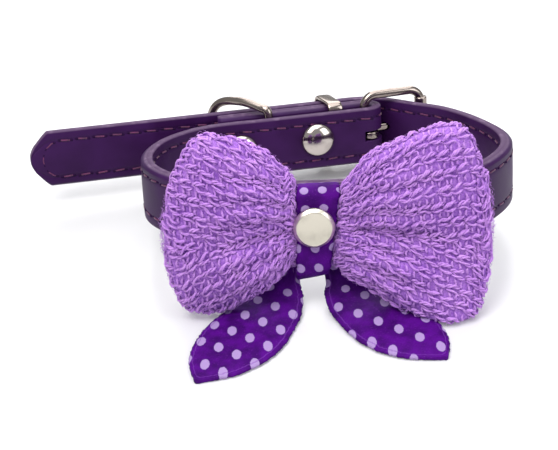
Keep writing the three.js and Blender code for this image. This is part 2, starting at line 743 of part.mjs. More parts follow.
function leafRings(leaf, front) {
  const { side, length, root } = leaf;
  const { rootY, spread, foot } = leafFoot(leaf, front);
  const rest = satinThick / 2;
  const rows = [
    { middle: set(snapX + side * root * 0.4, rootY, bandFoot * 0.15), across: 0, front: 0.16, back: 0.16 },
    { middle: set(snapX + side * root * 0.75, rootY, bandFoot * 0.6), across: 0, front: 0.2, back: 0.2 },
    ...leafTable.map(({ run, up, front: ahead, back: behind }) => ({
      middle: new THREE.Vector3(
        foot.x + side * run * length * Math.sin(spread),
        foot.y - run * length * Math.cos(spread),
        rest + up * (foot.z - rest),
      ),
      across: spread * THREE.MathUtils.smoothstep(run, 0, 0.3),
      front: ahead,
      back: behind,
    })),
  ];
  return rows.map((row, i) => {
    const before = rows[Math.max(i - 1, 0)].middle;
    const after = rows[Math.min(i + 1, rows.length - 1)].middle;
    const ahead = after.clone().sub(before).normalize();
    const across = new THREE.Vector3(-side * Math.cos(row.across), -Math.sin(row.across), 0);
    const through = ahead.cross(across).normalize().multiplyScalar(satinThick / 2);
    const edge = (share, face) => row.middle.clone()
      .addScaledVector(across, (share * leafWidth) / 2)
      .addScaledVector(through, face);
    const steps = [-row.back, -row.back / 2, 0, row.front / 2, row.front];
    return [...steps.map((share) => edge(share, 1)), ...steps.reverse().map((share) => edge(share, -1))];
  });
}

// Both tails are one folded piece, pinned behind the knot by the snap.
function makeTails(front) {
  const { tails } = stack(front);
  const [high, low] = [snapPost + 2 * satinThick, bandFoot * 0.56];
  const plate = new THREE.BoxGeometry(rootWidth, satinThick, high - low);
  plate.translate(snapX, tails - satinThick / 2, (high + low) / 2);
  plate.rotateX(-tilt).translate(0, 0, lift);
  let body = solid(plate);
  for (const leaf of Object.values(leaves)) body = body.add(solid(skin(leafRings(leaf, front))));
  const post = bar(
    new THREE.Vector2(snapX, tails + satinThick),
    new THREE.Vector2(snapX, tails - 2 * satinThick),
    snapPost + gap,
  );
  body = body.subtract(solid(post.rotateX(-tilt).translate(0, 0, lift)));
  return satin('tails', geometry(body));
}

const line = strapLine();
const front = frontFace(line);
const collar = new THREE.Group();
collar.add(
  makeStrap(line),
  makeBuckle(),
  makeTongue(),
  makeKeeper(),
  makeRing(),
  ...rivets.map(makeRivet),
  ...makeSnap(front),
  makeBow(front),
  makeKnot(front),
);
collar.rotation.x = -tilt;
collar.position.z = lift;

// The origin is in the middle of the object's box, on the surface that it rests on.
const whole = new THREE.Group();
whole.add(collar, makeTails(front));
whole.updateMatrixWorld(true);
const box = new THREE.Box3().setFromObject(whole, true);
whole.position.set(-(box.min.x + box.max.x) / 2, -(box.min.y + box.max.y) / 2, -box.min.z);
whole.updateMatrixWorld(true);

export default whole;
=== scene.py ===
# Pet bow tie collar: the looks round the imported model. Metres in the file, millimetres in the dictionaries.
import json
import math

import bpy
import numpy as np
from mathutils import Matrix, Vector


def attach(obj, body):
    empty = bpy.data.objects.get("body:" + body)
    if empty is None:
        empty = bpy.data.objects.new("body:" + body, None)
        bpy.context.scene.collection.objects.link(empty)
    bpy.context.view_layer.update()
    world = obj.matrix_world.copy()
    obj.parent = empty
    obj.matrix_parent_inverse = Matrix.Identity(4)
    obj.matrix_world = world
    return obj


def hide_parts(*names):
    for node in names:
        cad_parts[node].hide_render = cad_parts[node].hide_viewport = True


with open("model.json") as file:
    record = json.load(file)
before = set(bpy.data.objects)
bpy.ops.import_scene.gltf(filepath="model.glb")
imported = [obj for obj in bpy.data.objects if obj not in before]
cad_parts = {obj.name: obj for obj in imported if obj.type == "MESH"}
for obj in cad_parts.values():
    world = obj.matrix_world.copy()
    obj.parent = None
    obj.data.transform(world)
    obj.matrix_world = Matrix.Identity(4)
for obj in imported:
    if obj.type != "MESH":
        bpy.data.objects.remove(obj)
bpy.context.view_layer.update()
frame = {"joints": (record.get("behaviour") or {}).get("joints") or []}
mm = 0.001

# The collar's own frame: x to the right, y to the back, z along the strap's width. It lies tilted.
collar = {
    "heelX": 9.6, "backReach": 30.3, "backTurn": 11.8,  # the heel bar, and the way the back runs
    "ringAt": -25.7, "buckleTurn": 15.0, "gap": 0.3,
    "wireRadius": 1.15, "strapThick": 3.0, "strapWidth": 15.0,
    "bucklePitch": 15.9, "sleeveRadius": 1.7,  # from the heel bar to the far bar's sleeve
    "snapX": -5.9, "frontFace": -29.44,  # snap's middle; the strap's outer face there
    "satinThick": 1.1, "bandThick": 1.2, "waist": 3.2,  # the layers under the snap cap
    "tailStandoff": 1.2,
}
swing = frame["joints"][0]
tilt = math.atan2(-swing["axis"][1], -swing["axis"][2])
turned = np.array([
    [1, 0, 0],
    [0, math.cos(tilt), math.sin(tilt)],
    [0, -math.sin(tilt), math.cos(tilt)],
])


def besideHeel(degrees, along, out):
    # A place in the collar's plan: from the heel bar along a line turned by an angle, and outwards from it.
    turn = math.radians(degrees)
    return np.stack([
        collar["heelX"] + along * math.cos(turn) - out * math.sin(turn),
        collar["backReach"] + along * math.sin(turn) + out * math.cos(turn),
    ], axis=-1)


def backPoint(along, out):
    # A place beside the heel bar along the strap's layered back.
    return besideHeel(collar["backTurn"], along, out)


def bucklePoint(along, out):
    # A place beside the heel bar in the buckle's own plane.
    return besideHeel(collar["buckleTurn"], along, out)


pivot = np.append(backPoint(np.float64(collar["ringAt"]), np.float64(0)), 0)
origin = np.array(swing["pos_m"]) / mm - turned @ pivot


def placed(points):
    # From the collar's frame in millimetres to the row frame in metres: turned by the tilt, then moved.
    return (np.asarray(points) @ turned.T + origin) * mm


# Camera
print("camera")
cameraView = {
    "place": (-11.83, -406.64, 143.65),  # millimetres, in the collar's frame
    "forward": (-0.00524, 0.93257, -0.36096),
    "up": (0.04742, 0.36079, 0.93144),
    "focalPixels": 1729.0, "imageWidth": 558.0, "sensorWidth": 36.0, "nearest": 0.01,
}
cameraData = bpy.data.cameras.new("camera")
camera = bpy.data.objects.new("camera", cameraData)
bpy.context.scene.collection.objects.link(camera)
backward = -turned @ np.array(cameraView["forward"])
upward = turned @ np.array(cameraView["up"])
rightward = np.cross(upward, backward)
camera.matrix_world = Matrix([
    [*column] for column in np.column_stack([rightward, upward, backward, placed(cameraView["place"])])
] + [[0, 0, 0, 1]])
cameraData.sensor_width = cameraView["sensorWidth"]
cameraData.lens = cameraView["focalPixels"] * cameraView["sensorWidth"] / cameraView["imageWidth"]
cameraData.clip_start = cameraView["nearest"]
bpy.context.scene.camera = camera


# Meshes from arrays
def gridFaces(rows, columns, closeRows=False):
    # Four-sided faces between neighbouring places of a grid that closes round its columns.
    i = np.arange(rows if closeRows else rows - 1)[:, None]
    j = np.arange(columns)[None, :]
    below, beside = (i + 1) % rows, (j + 1) % columns
    corners = [i * columns + j, i * columns + beside, below * columns + beside, below * columns + j]
    return np.stack(np.broadcast_arrays(*corners), axis=-1).reshape(-1, 4)


def newMesh(name, points, faces, uv=None):
    # points are metres in the row frame; faces is a list of arrays of corner numbers; uv has a pair a point.
    mesh = bpy.data.meshes.new(name)
    mesh.from_pydata(points.reshape(-1, 3).tolist(), [], [face for group in faces for face in group.tolist()])
    mesh.polygons.foreach_set("use_smooth", np.full(len(mesh.polygons), True))
    if uv is not None:
        layer = mesh.uv_layers.new(name="flat")
        corner = np.empty(len(mesh.loops), np.int32)
        mesh.loops.foreach_get("vertex_index", corner)
        layer.data.foreach_set("uv", uv.reshape(-1, 2)[corner].astype(np.float32).ravel())
    mesh.update()
    piece = bpy.data.objects.new(name, mesh)
    bpy.context.scene.collection.objects.link(piece)
    return piece


def outward(piece):
    # Turns every face outwards where the signed volume of the closed mesh is below nothing.
    mesh = piece.data
    mesh.calc_loop_triangles()
    corner = np.empty(len(mesh.loop_triangles) * 3, np.int32)
    mesh.loop_triangles.foreach_get("vertices", corner)
    place = np.empty(len(mesh.vertices) * 3)
    mesh.vertices.foreach_get("co", place)
    a, b, c = np.moveaxis(place.reshape(-1, 3)[corner.reshape(-1, 3)], 1, 0)
    if np.einsum("ij,ij->i", a, np.cross(b, c)).sum() < 0:
        mesh.flip_normals()
    return piece


def capped(name, grid, uv=None):
    # A grid closed round its columns, with a face with many corners on either end.
    rows, columns = grid.shape[:2]
    ring = np.arange(columns)[None, :]
    ends = [ring[:, ::-1], (rows - 1) * columns + ring]
    return outward(newMesh(name, grid, [gridFaces(rows, columns), *ends], uv))


def ringed(name, grid, uv=None):
    # A grid closed both ways, such as a bent wire or a band.
    return outward(newMesh(name, grid, [gridFaces(*grid.shape[:2], closeRows=True)], uv))


def fixed(piece, body, material, replaced=()):
    # The piece gets its finish and its body, and stands for the model's own solids.
    piece.data.materials.append(material)
    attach(piece, body)
    if replaced:
        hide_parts(*replaced)
    return piece


# Lines and profiles
def unit(vectors):
    # Each vector divided by its length.
    return vectors / np.maximum(np.linalg.norm(vectors, axis=-1, keepdims=True), 1e-9)


def smoothstep(low, high, value):
    # 3 s^2 - 2 s^3 of the share s of the way from low to high.
    share = np.clip((value - low) / (high - low), 0, 1)
    return share * share * (3 - 2 * share)


def swollen(value, power):
    # |value| ** power with the value's own sign, which squares a circle's sine and cosine.
    return np.sign(value) * np.abs(value) ** power


def roundEnd(distance, reach, least):
    # The least at an end, rising as a quarter of a circle to 1 where the reach is passed.
    return least + (1 - least) * np.sqrt(1 - (1 - np.clip(distance / reach, 0, 1)) ** 2)


def fullTurn(sides):
    # Evenly spaced angles round a circle.
    return np.linspace(0, 2 * np.pi, sides, endpoint=False)


def eased(at, values, where):
    # A cubic through the rows of a table; its slope at a row is the mean of the slopes on both sides.
    at, values = np.asarray(at, float), np.asarray(values, float)
    width = np.diff(at)
    slope = np.diff(values) / width
    inner = (slope[:-1] * width[1:] + slope[1:] * width[:-1]) / (width[1:] + width[:-1])
    slopes = np.concatenate([slope[:1], inner, slope[-1:]])
    i = np.clip(np.searchsorted(at, where, side="right") - 1, 0, len(width) - 1)
    t = (where - at[i]) / width[i]
    h00, h10 = (1 + 2 * t) * (1 - t) ** 2, t * (1 - t) ** 2
    h01, h11 = t * t * (3 - 2 * t), t * t * (t - 1)
    return h00 * values[i] + h10 * width[i] * slopes[i] + h01 * values[i + 1] + h11 * width[i] * slopes[i + 1]


def easedRows(at, rows, where):
    # The same for every column of a table.
    return np.stack([eased(at, column, where) for column in np.transpose(rows)], axis=-1)


def runAlong(line):
    # How far along a polyline each of its places lies.
    return np.concatenate([[0], np.cumsum(np.linalg.norm(np.diff(line, axis=0), axis=1))])


def evenly(line, count, closed=False):
    # Evenly spaced places on a polyline, and how far along it each of them lies.
    run = runAlong(line)
    even = np.linspace(0, run[-1], count, endpoint=not closed)
    return np.stack([np.interp(even, run, column) for column in line.T], axis=-1), even


def throughPoints(points, count, closed=False):
    # Evenly spaced places on a cubic through given points, its parameter the root of the chords.
    points = np.asarray(points, float)
    if closed:
        points = np.concatenate([points[-3:], points, points[:3]])
    chord = np.sqrt(np.linalg.norm(np.diff(points, axis=0), axis=1))
    at = np.concatenate([[0], np.cumsum(chord)])
    low, high = (at[3], at[-3]) if closed else (at[0], at[-1])
    return evenly(easedRows(at, points, np.linspace(low, high, count * 12)), count, closed)[0]


def acrossRing(path):
    # From the place before each one to the place after it, on a closed path.
    return np.roll(path, -1, axis=0) - np.roll(path, 1, axis=0)


def wire(path, radius, sides, reference, closed=True):
    # A round profile carried along a path: centre + radius (cos a * side + sin a * reference).
    ahead = unit(acrossRing(path) if closed else np.gradient(path, axis=0))
    side = unit(np.cross(ahead, reference))
    over = np.cross(side, ahead)
    turn = fullTurn(sides)[None, :, None]
    radius = np.broadcast_to(radius, (len(path),))[:, None, None]
    return path[:, None, :] + radius * (np.cos(turn) * side[:, None, :] + np.sin(turn) * over[:, None, :])


def lathe(profile, axisFrom, direction, sides):
    # A profile of (radius, height) turned about a line of the plan: start + height * way + radius * circle.
    profile = np.asarray(profile, float)
    direction = unit(np.append(direction, 0.0))
    side = np.array([-direction[1], direction[0], 0.0])
    up = np.array([0.0, 0.0, 1.0])
    turn = fullTurn(sides)[None, :, None]
    radius, height = profile[:, 0, None, None], profile[:, 1, None, None]
    return np.append(axisFrom, 0.0) + height * direction + radius * (np.cos(turn) * side + np.sin(turn) * up)


def rounded(corners, radius, steps=5):
    # A profile whose corners are rounded: a curve with two controls at the corner replaces each of them.
    corners = np.asarray(corners, float)
    before, after = corners[:-2], corners[2:]
    middle = corners[1:-1]
    reach = np.minimum(radius, 0.45 * np.minimum(
        np.linalg.norm(middle - before, axis=1), np.linalg.norm(after - middle, axis=1)))[:, None]
    start, end = middle + unit(before - middle) * reach, middle + unit(after - middle) * reach
    t = np.linspace(0, 1, steps)[None, :, None]
    bend = (1 - t) ** 2 * start[:, None] + 2 * t * (1 - t) * middle[:, None] + t * t * end[:, None]
    return np.concatenate([corners[:1], bend.reshape(-1, 2), corners[-1:]])


def boxCorners(middle, half, corner, steps):
    # The four bends of a rounded rectangle: the centre of each place's bend, and its way out from there.
    turn = np.radians(np.linspace(0, 90, steps))
    centres, ways = [], []
    for side, end, start in [(1, 1, 0), (-1, 1, 90), (-1, -1, 180), (1, -1, 270)]:
        angle = turn + math.radians(start)
        centre = [middle[0] + side * (half[0] - corner), middle[1] + end * (half[1] - corner)]
        centres.append(np.tile(centre, (steps, 1)))
        ways.append(np.column_stack([np.cos(angle), np.sin(angle)]))
    return np.concatenate(centres), np.concatenate(ways)


# Node materials
class Finish:
    # A material with its node tree, and short ways to add nodes to it.
    def __init__(self, name):
        self.material = bpy.data.materials.new(name)
        self.material.use_nodes = True
        self.tree = self.material.node_tree
        self.shader = self.tree.nodes["Principled BSDF"]

    def node(self, kind, settings=None, **values):
        # One node, with its settings and the values of its inputs.
        made = self.tree.nodes.new("ShaderNode" + kind)
        for key, value in (settings or {}).items():
            setattr(made, key, value)
        for key, value in values.items():
            made.inputs[key].default_value = value
        return made

    def link(self, start, end):
        # Joins an output to an input.
        self.tree.links.new(start, end)

    def feed(self, sockets, values):
        # Each socket takes a plain value or the output of another node.
        for socket, value in zip(sockets, values):
            if isinstance(value, (tuple, float, int)):
                socket.default_value = value
            else:
                self.link(value, socket)

    def set(self, **values):
        # Plain values of the shader's inputs, a space in a name written as an underscore.
        for key, value in values.items():
            self.shader.inputs[key.replace("_", " ")].default_value = value

    def math(self, operation, *values):
        # One operation on numbers or outputs.
        made = self.node("Math", {"operation": operation})
        self.feed(made.inputs, values)
        return made.outputs[0]

    def plus(self, base, value, times):
        # base + value * times
        return self.math("ADD", base, self.math("MULTIPLY", value, times))

    def mix(self, factor, a, b):
        # a + (b - a) * factor, for colours.
        made = self.node("Mix", {"data_type": "RGBA"})
        self.feed([made.inputs[0], made.inputs[6], made.inputs[7]], [factor, a, b])
        return made.outputs[2]

    def texture(self, kind, settings=None, **values):
        # A pattern in the piece's own place, so that it moves with the piece.
        made = self.node("Tex" + kind, settings, **values)
        self.link(self.node("TexCoord").outputs["Object"], made.inputs["Vector"])
        return made.outputs

    def noise(self, scale, detail=4.0):
        # Clouds from 0 to 1, scale of them to a metre.
        return self.texture("Noise", Scale=scale, Detail=detail)["Fac"]

    def flat(self):
        # Both coordinates of the piece's flat map.
        spread = self.node("UVMap", {"uv_map": "flat"})
        parts = self.node("SeparateXYZ")
        self.link(spread.outputs[0], parts.inputs[0])
        return parts.outputs

    def ramp(self, value, low, high):
        # A smooth step from 0 at low to 1 at high.
        made = self.node("MapRange", {"interpolation_type": "SMOOTHSTEP"})
        made.inputs["From Min"].default_value = low
        made.inputs["From Max"].default_value = high
        self.link(value, made.inputs["Value"])
        return made.outputs["Result"]

    def bump(self, height, strength, distance):
        # The shader's normal, from a height of up to this distance in metres.
        made = self.node("Bump", None, Strength=strength, Distance=distance)
        self.link(height, made.inputs["Height"])
        self.link(made.outputs["Normal"], self.shader.inputs["Normal"])

    def colour(self, value):
        # The shader's base colour, from an output.
        self.link(value, self.shader.inputs["Base Color"])


def colourOf(screenColour):
    # A screen colour, 0 to 255, as the linear colour that a shader takes.
    screen = np.array(screenColour) / 255
    linear = np.where(screen <= 0.04045, screen / 12.92, ((screen + 0.055) / 1.055) ** 2.4)
    return (*linear.tolist(), 1.0)


# Strap
print("strap")
strap = {
    "loopWidth": 91.3, "loopShift": -1.6, "frontReach": 27.8,
    "tailLength": 87.9, "tipLength": 4.9, "tipBlunt": 2.1, "foldedLength": 38.6,
    "edgeRound": 0.5, "plyGroove": 0.14, "plyGrooveWidth": 0.42, "crown": 0.1,
    "places": 460,  # sections along the strap
    "holePitch": 10.0, "holeCount": 5, "holeRadius": 1.2,
    "slotFrom": 4.3, "slotOut": 0.75, "foldSlot": 1.35,  # the tongue's hole, and half the fold's slot
    "stitchInset": 2.6, "stitchPitch": 4.5, "stitchLength": 3.1, "threadRadius": 0.23,
    "needleLength": 0.8, "needleRadius": 0.30,  # painted shade: dark tubes at both ends of a stitch stand in for the needle holes
    "stitchSink": 0.2, "grooveWidth": 0.42,  # the sewn groove
    "stitchLean": 5.0,  # degrees off the edge
    "face": (46, 13, 62), "faceLight": (55, 19, 74), "rim": (82, 60, 90), "rimLight": (108, 86, 114),
    # the needle colour is the painted shade inside the needle holes
    "thread": (104, 30, 84), "threadDark": (66, 18, 58), "needleShade": (38, 10, 52),
}
layerGap = 2 * (collar["wireRadius"] + collar["gap"] + 0.05)
foldRadius = (layerGap + collar["strapThick"]) / 2
wallFace = layerGap / 2 + collar["strapThick"]
tailOffset = wallFace + collar["tailStandoff"] + collar["strapThick"] / 2
strapHalf = collar["strapWidth"] / 2

# The loop's plan from beside the far bar round the front: shares of half its width, and of its reaches.
loopTable = np.array([
    (0.713, 0.839), (0.869, 0.544), (0.990, 0.141), (0.999, -0.191), (0.918, -0.522),
    (0.775, -0.800), (0.560, -0.955), (0.200, -1.000), (-0.190, -1.000), (-0.530, -0.950),
    (-0.797, -0.737), (-0.963, -0.399), (-1.001, -0.080), (-0.940, 0.262), (-0.795, 0.505),
])


def strapLine():
    # The strap's middle in plan: free end, S-bend, loop, fold round the heel bar, folded layer.
    half = (strap["loopWidth"] - collar["strapThick"]) / 2
    deep = np.where(loopTable[:, 1] < 0, strap["frontReach"], collar["backReach"]) * loopTable[:, 1]
    loop = np.stack([strap["loopShift"] + loopTable[:, 0] * half, deep], axis=-1)
    free = backPoint(-strap["tailLength"] * np.array([1, 0.7, 0.4, 0.12]), tailOffset)
    bend = np.stack([
        backPoint(-0.2 * foldRadius, tailOffset),
        backPoint(1.45 * foldRadius, foldRadius + 0.95 * collar["strapThick"]),
        bucklePoint(0.5 * collar["bucklePitch"], 0.88 * foldRadius),
        bucklePoint(
            0.83 * collar["bucklePitch"],
            -(collar["sleeveRadius"] + collar["gap"] + 0.6 * collar["strapThick"])),
    ])
    under = np.concatenate([
        backPoint(np.array([-strap["foldedLength"] - collar["strapThick"]]), -foldRadius),
        backPoint(-strap["foldedLength"] * np.array([0.7, 0.35, 0]), -foldRadius),
    ])
    curve = throughPoints(np.concatenate([free, bend, loop, under]), 700)
    turn = np.pi * (np.linspace(0, 1, 40)[1:] - 0.5)
    fold = backPoint(foldRadius * np.cos(turn), foldRadius * np.sin(turn))
    layer = backPoint(-strap["foldedLength"] * np.linspace(0, 1, 60)[1:], foldRadius)
    return evenly(np.concatenate([curve, fold, layer]), 1400)


strapPlan, strapRun = strapLine()
ahead = unit(np.gradient(strapPlan, axis=0))
strapSide = np.stack([ahead[:, 1], -ahead[:, 0]], axis=-1)  # positive towards the loop's outside


def onStrap(run, out, up):
    # A place on the strap: middle line at run + out * side, and up along its width.
    x, y, sideX, sideY = (np.interp(run, strapRun, column) for column in [*strapPlan.T, *strapSide.T])
    side = unit(np.stack([sideX, sideY], axis=-1))
    return np.stack([x + side[..., 0] * out, y + side[..., 1] * out, np.broadcast_to(up, x.shape)], axis=-1)


def strapProfile():
    # The section as (out, up): rounded corners, a groove between the plies, a sunk line under the stitches.
    flat, bevel = collar["strapThick"] / 2, strap["edgeRound"]
    turn = np.radians(np.linspace(0, 90, 7))
    corner = np.column_stack([flat - bevel + bevel * np.cos(turn), strapHalf - bevel + bevel * np.sin(turn)])
    wide, deep = strap["plyGrooveWidth"], strap["plyGroove"]
    low = strapHalf - deep
    groove = np.array([(wide / 2, strapHalf), (wide / 5, low), (-wide / 5, low), (-wide / 2, strapHalf)])
    up = np.linspace(-(strapHalf - bevel), strapHalf - bevel, 45)[1:-1]
    fromSeam = np.abs(up) - (strapHalf - strap["stitchInset"])
    sunk = strap["stitchSink"] * np.exp(-(fromSeam / strap["grooveWidth"]) ** 2)
    out = flat + strap["crown"] * (1 - (up / strapHalf) ** 2) - sunk
    half = np.concatenate([np.stack([out, up], axis=-1), corner, groove])
    return np.concatenate([half, -half])


def strapGrid():
    # The profile carried along the middle line; towards the tip its height shrinks to the blunt point.
    profile = strapProfile()
    run = np.concatenate([
        np.linspace(0, 1, 30, endpoint=False) ** 1.7 * strap["tipLength"] * 1.4,
        np.linspace(strap["tipLength"] * 1.4, strapRun[-1], strap["places"]),
    ])
    taper = np.clip(run / strap["tipLength"], 0, 1)
    half = strap["tipBlunt"] + (strapHalf - strap["tipBlunt"]) * (1 - (1 - taper) ** 1.2)
    thin = roundEnd(run, 0.7, 0.65) * roundEnd(strapRun[-1] - run, 0.5, 0.7)
    out = profile[None, :, 0] * thin[:, None]
    up = profile[None, :, 1] * (roundEnd(run, 1.3, 0.25) * half / strapHalf)[:, None]
    grid = onStrap(np.broadcast_to(run[:, None], out.shape), out, up)
    uv = np.stack(np.broadcast_arrays(run[:, None], profile[None, :, 1]), axis=-1) * mm
    return placed(grid), uv


def cutter(name, ends, radius, sides=28):
    # A plain rod between two places, to cut a hole with.
    path = placed(np.linspace(ends[0], ends[1], 2))
    grid = wire(path, radius * mm, sides, np.array([1.0, 0.3, 0.2]), closed=False)
    return capped(name, grid)


def punched(piece):
    # Cuts the punched holes and the tongue's slot out of the strap, then drops the rods.
    rods = []
    for i in range(1, strap["holeCount"]):
        at = 0.5 * collar["bucklePitch"] - strap["holePitch"] * i
        ends = [np.append(backPoint(at, wallFace + 0.3), 0), np.append(backPoint(at, tailOffset + 3), 0)]
        rods.append(cutter(f"rod{i}", ends, strap["holeRadius"]))
    face = collar["gap"] + collar["wireRadius"] + strap["slotOut"]
    ends = [np.append(bucklePoint(along, face), 0) for along in (strap["slotFrom"], collar["bucklePitch"])]
    rods.append(cutter("rodTongue", ends, strap["holeRadius"]))
    ends = [np.append(backPoint(0, 0), way * strap["foldSlot"]) for way in (-1, 1)]
    rods.append(cutter("rodHeel", ends, wallFace + 0.2, 40))
    for rod in rods:
        cut = piece.modifiers.new("hole", "BOOLEAN")
        cut.operation, cut.object, cut.solver = "DIFFERENCE", rod, "EXACT"
    bpy.context.view_layer.update()
    evaluated = piece.evaluated_get(bpy.context.evaluated_depsgraph_get())
    mesh = bpy.data.meshes.new_from_object(evaluated)
    piece.modifiers.clear()
    piece.data = mesh
    mesh.polygons.foreach_set("use_smooth", np.full(len(mesh.polygons), True))
    for rod in rods:
        bpy.data.objects.remove(rod)
    return piece


def leatherFinish():
    # Smooth coated leather with a fine grain; its cut edges are paler, and slow clouds vary the purple.
    finish = Finish("purpleLeather")
    edge = finish.ramp(finish.math("ABSOLUTE", finish.flat()[1]), 0.00700, 0.00735)
    cloud = finish.ramp(finish.noise(90, 3), 0.35, 0.7)
    face = finish.mix(cloud, colourOf(strap["face"]), colourOf(strap["faceLight"]))
    scuff = finish.ramp(finish.noise(420, 5), 0.5, 0.75)
    rim = finish.mix(scuff, colourOf(strap["rim"]), colourOf(strap["rimLight"]))
    finish.colour(finish.mix(edge, face, rim))
    grain = finish.texture("Voronoi", {"feature": "DISTANCE_TO_EDGE"}, Scale=2600.0)
    finish.bump(finish.plus(finish.noise(1500, 4), grain["Distance"], 0.6), 0.22, 0.00008)
    finish.link(finish.plus(finish.plus(0.42, edge, 0.2), cloud, 0.1), finish.shader.inputs["Roughness"])
    finish.set(Specular_IOR_Level=0.16)
    return finish.material


strapPoints, strapUv = strapGrid()
strapPiece = punched(capped("strapLeather", strapPoints, strapUv))
fixed(strapPiece, "collar", leatherFinish(), ["strap"])


def stitchPath():
    # The sewn line on one face, as (run, up): along one edge, round the tip, and back along the other.
    inset = strapHalf - strap["stitchInset"]
    last = strapRun[-1] - 1.6
    upper = np.array([(last, 1), (7.4, 1), (5.7, 0.9), (4.2, 0.62), (3.4, 0.3)])
    path = np.concatenate([upper, [(3.2, 0)], upper[::-1] * [1, -1]]) * [1, inset]
    return path, runAlong(path)


def threads(paths, over, radius, sides, taper=0.75):
    # Many short threads at once: paths is (thread, place, 3), over the way out of the surface at each place.
    # Each is centre + r (cos a * side + sin a * over), with r falling to a point at both ends.
    ahead = unit(np.gradient(paths, axis=1))
    side = unit(np.cross(ahead, over))
    lift = np.cross(side, ahead)
    t = np.linspace(-1, 1, paths.shape[1])
    slim = np.sqrt(np.clip(1 - np.abs(t) ** (2 / max(1 - taper, 0.05)), 0.02, 1))
    turn = fullTurn(sides)[None, None, :, None]
    wide = np.asarray(radius)[..., None, None, None] * slim[None, :, None, None]
    circle = np.cos(turn) * side[:, :, None, :] + np.sin(turn) * lift[:, :, None, :]
    return paths[:, :, None, :] + wide * circle


def threadPiece(name, tubes):
    # One mesh of all the threads; each is a closed tube with a face on both ends.
    count, places, sides = tubes.shape[:3]
    start = (np.arange(count) * places * sides)[:, None, None]
    walls = (gridFaces(places, sides)[None] + start).reshape(-1, 4)
    ring = np.arange(sides)[None, None, :]
    ends = np.concatenate([ring[..., ::-1] + start, ring + start + (places - 1) * sides]).reshape(-1, sides)
    return outward(newMesh(name, tubes, [walls, ends]))


def stitchTubes(face, length, radius, shift=0, sink=0, places=9):
    # Stitches on one face of the strap: a thread that rises out of its hole, lies along the line, and sinks.
    path, run = stitchPath()
    count = int(run[-1] / strap["stitchPitch"])
    start = (np.arange(count) + 0.5) * run[-1] / count + shift
    t = np.linspace(-0.5, 0.5, places)[None, :]               # the thread's own length
    at = start[:, None] + t * length
    along, up = (np.interp(at, run, column) for column in path.T)
    sway = np.tan(math.radians(strap["stitchLean"])) * (t * length + shift)
    arch = np.clip(1 - (2 * t) ** 4, 0, 1)
    flat = collar["strapThick"] / 2 - strap["stitchSink"] + radius * (1.25 * arch - 0.75) - sink
    out = face * (flat + strap["crown"] * 0.5)
    centre, away = (
        placed(onStrap(along, np.broadcast_to(far, along.shape), up + sway)) for far in (out, out + face))
    return threads(centre, unit(away - centre), np.full(count, radius * mm), 6)


def threadFinish(name, light, dark):
    # Twisted sewing thread: stripes round each stitch, with a soft sheen.
    finish = Finish(name)
    cloud = finish.ramp(finish.noise(1800, 3), 0.3, 0.7)
    finish.colour(finish.mix(cloud, colourOf(dark), colourOf(light)))
    finish.bump(finish.texture("Wave", Scale=1400.0, Distortion=2.0)["Fac"], 0.4, 0.00008)
    finish.set(Roughness=0.6, Sheen_Weight=0.3, Sheen_Roughness=0.4)
    return finish.material


stitchFinish = threadFinish("plumThread", strap["thread"], strap["threadDark"])
# Painted shade: a near-black purple for the small tubes that stand in for the dark inside of the needle
# holes.
holeShadeFinish = Finish("needleHoleShade")
holeShadeFinish.set(Base_Color=colourOf(strap["needleShade"]), Roughness=0.7, Specular_IOR_Level=0.1)
for faceName, face in [("Out", 1), ("In", -1)]:
    tubes = stitchTubes(face, strap["stitchLength"], strap["threadRadius"])
    fixed(threadPiece("stitches" + faceName, tubes), "collar", stitchFinish)
    # Short dark tubes at both ends of each stitch: painted shade of the needle holes.
    shifts = [way * strap["stitchLength"] / 2 for way in (-1, 1)]
    holeShadeTubes = np.concatenate([
        stitchTubes(face, strap["needleLength"], strap["needleRadius"], shift, 0.09, 5) for shift in shifts
    ])
    fixed(threadPiece("needleHoleShades" + faceName, holeShadeTubes), "collar", holeShadeFinish.material)


# Metal
print("metal")
# The dark tint is nickel darkened as painted shade, standing in for dark reflections of the studio.
metal = {"dark": (158, 146, 139), "bright": (200, 190, 184), "satin": (222, 216, 200), "wireSides": 28}
buckle = {
    "across": 22.0, "corner": 3.4,
    "tongueWidth": 1.8, "tongueThick": 1.1, "tongueTip": 2.2,
    "rollTurn": 270.0, "rollBulge": 2.2, "bulgeAt": 290.0, "bulgeSpread": 0.75,
}
keeper = {"thick": 0.9, "length": 3.8, "skew": 0.15, "at": -7.7, "crown": 0.18, "squareness": 0.35}
ring = {"belly": 10.1, "bar": 9.15, "reach": 18.6, "squareness": 0.65}


def metalFinish(name, tint, roughness, brushed):
    # Plated metal: fine scratches turn the gloss, and handling dulls it in soft patches.
    finish = Finish(name)
    patch = finish.ramp(finish.noise(240, 4), 0.4, 0.75)
    clean = colourOf(tint)
    worn = tuple(0.82 * part for part in clean[:3]) + (1.0,)
    finish.colour(finish.mix(patch, clean, worn))
    finish.link(finish.plus(roughness, patch, 0.08), finish.shader.inputs["Roughness"])
    finish.bump(finish.noise(3000, 3), brushed, 0.00003)
    finish.set(Metallic=1.0)
    return finish.material


# Painted shade: this nickel's tint is darkened to stand in for dark reflections of the studio.
nickel = metalFinish("nickelShadedForReflections", metal["dark"], 0.16, 0.08)
bright = metalFinish("brightNickel", metal["bright"], 0.13, 0.05)
satinMetal = metalFinish("satinNickel", metal["satin"], 0.3, 0.2)


def wireFrame():
    # The buckle's bent wire: a rectangle with round corners, standing in the buckle's plane.
    half = buckle["across"] / 2 - collar["wireRadius"]
    middle = collar["bucklePitch"] / 2
    centres, ways = boxCorners((middle, 0), (middle, half), buckle["corner"], 14)
    path = centres + buckle["corner"] * ways
    along, up = evenly(np.concatenate([path, path[:1]]), 220, closed=True)[0].T
    return np.column_stack([bucklePoint(along, 0 * along), up])


def planNormal(turn):
    # The way out of an upright plane that runs at an angle over the plan.
    return turned @ np.array([-math.sin(turn), math.cos(turn), 0.0])


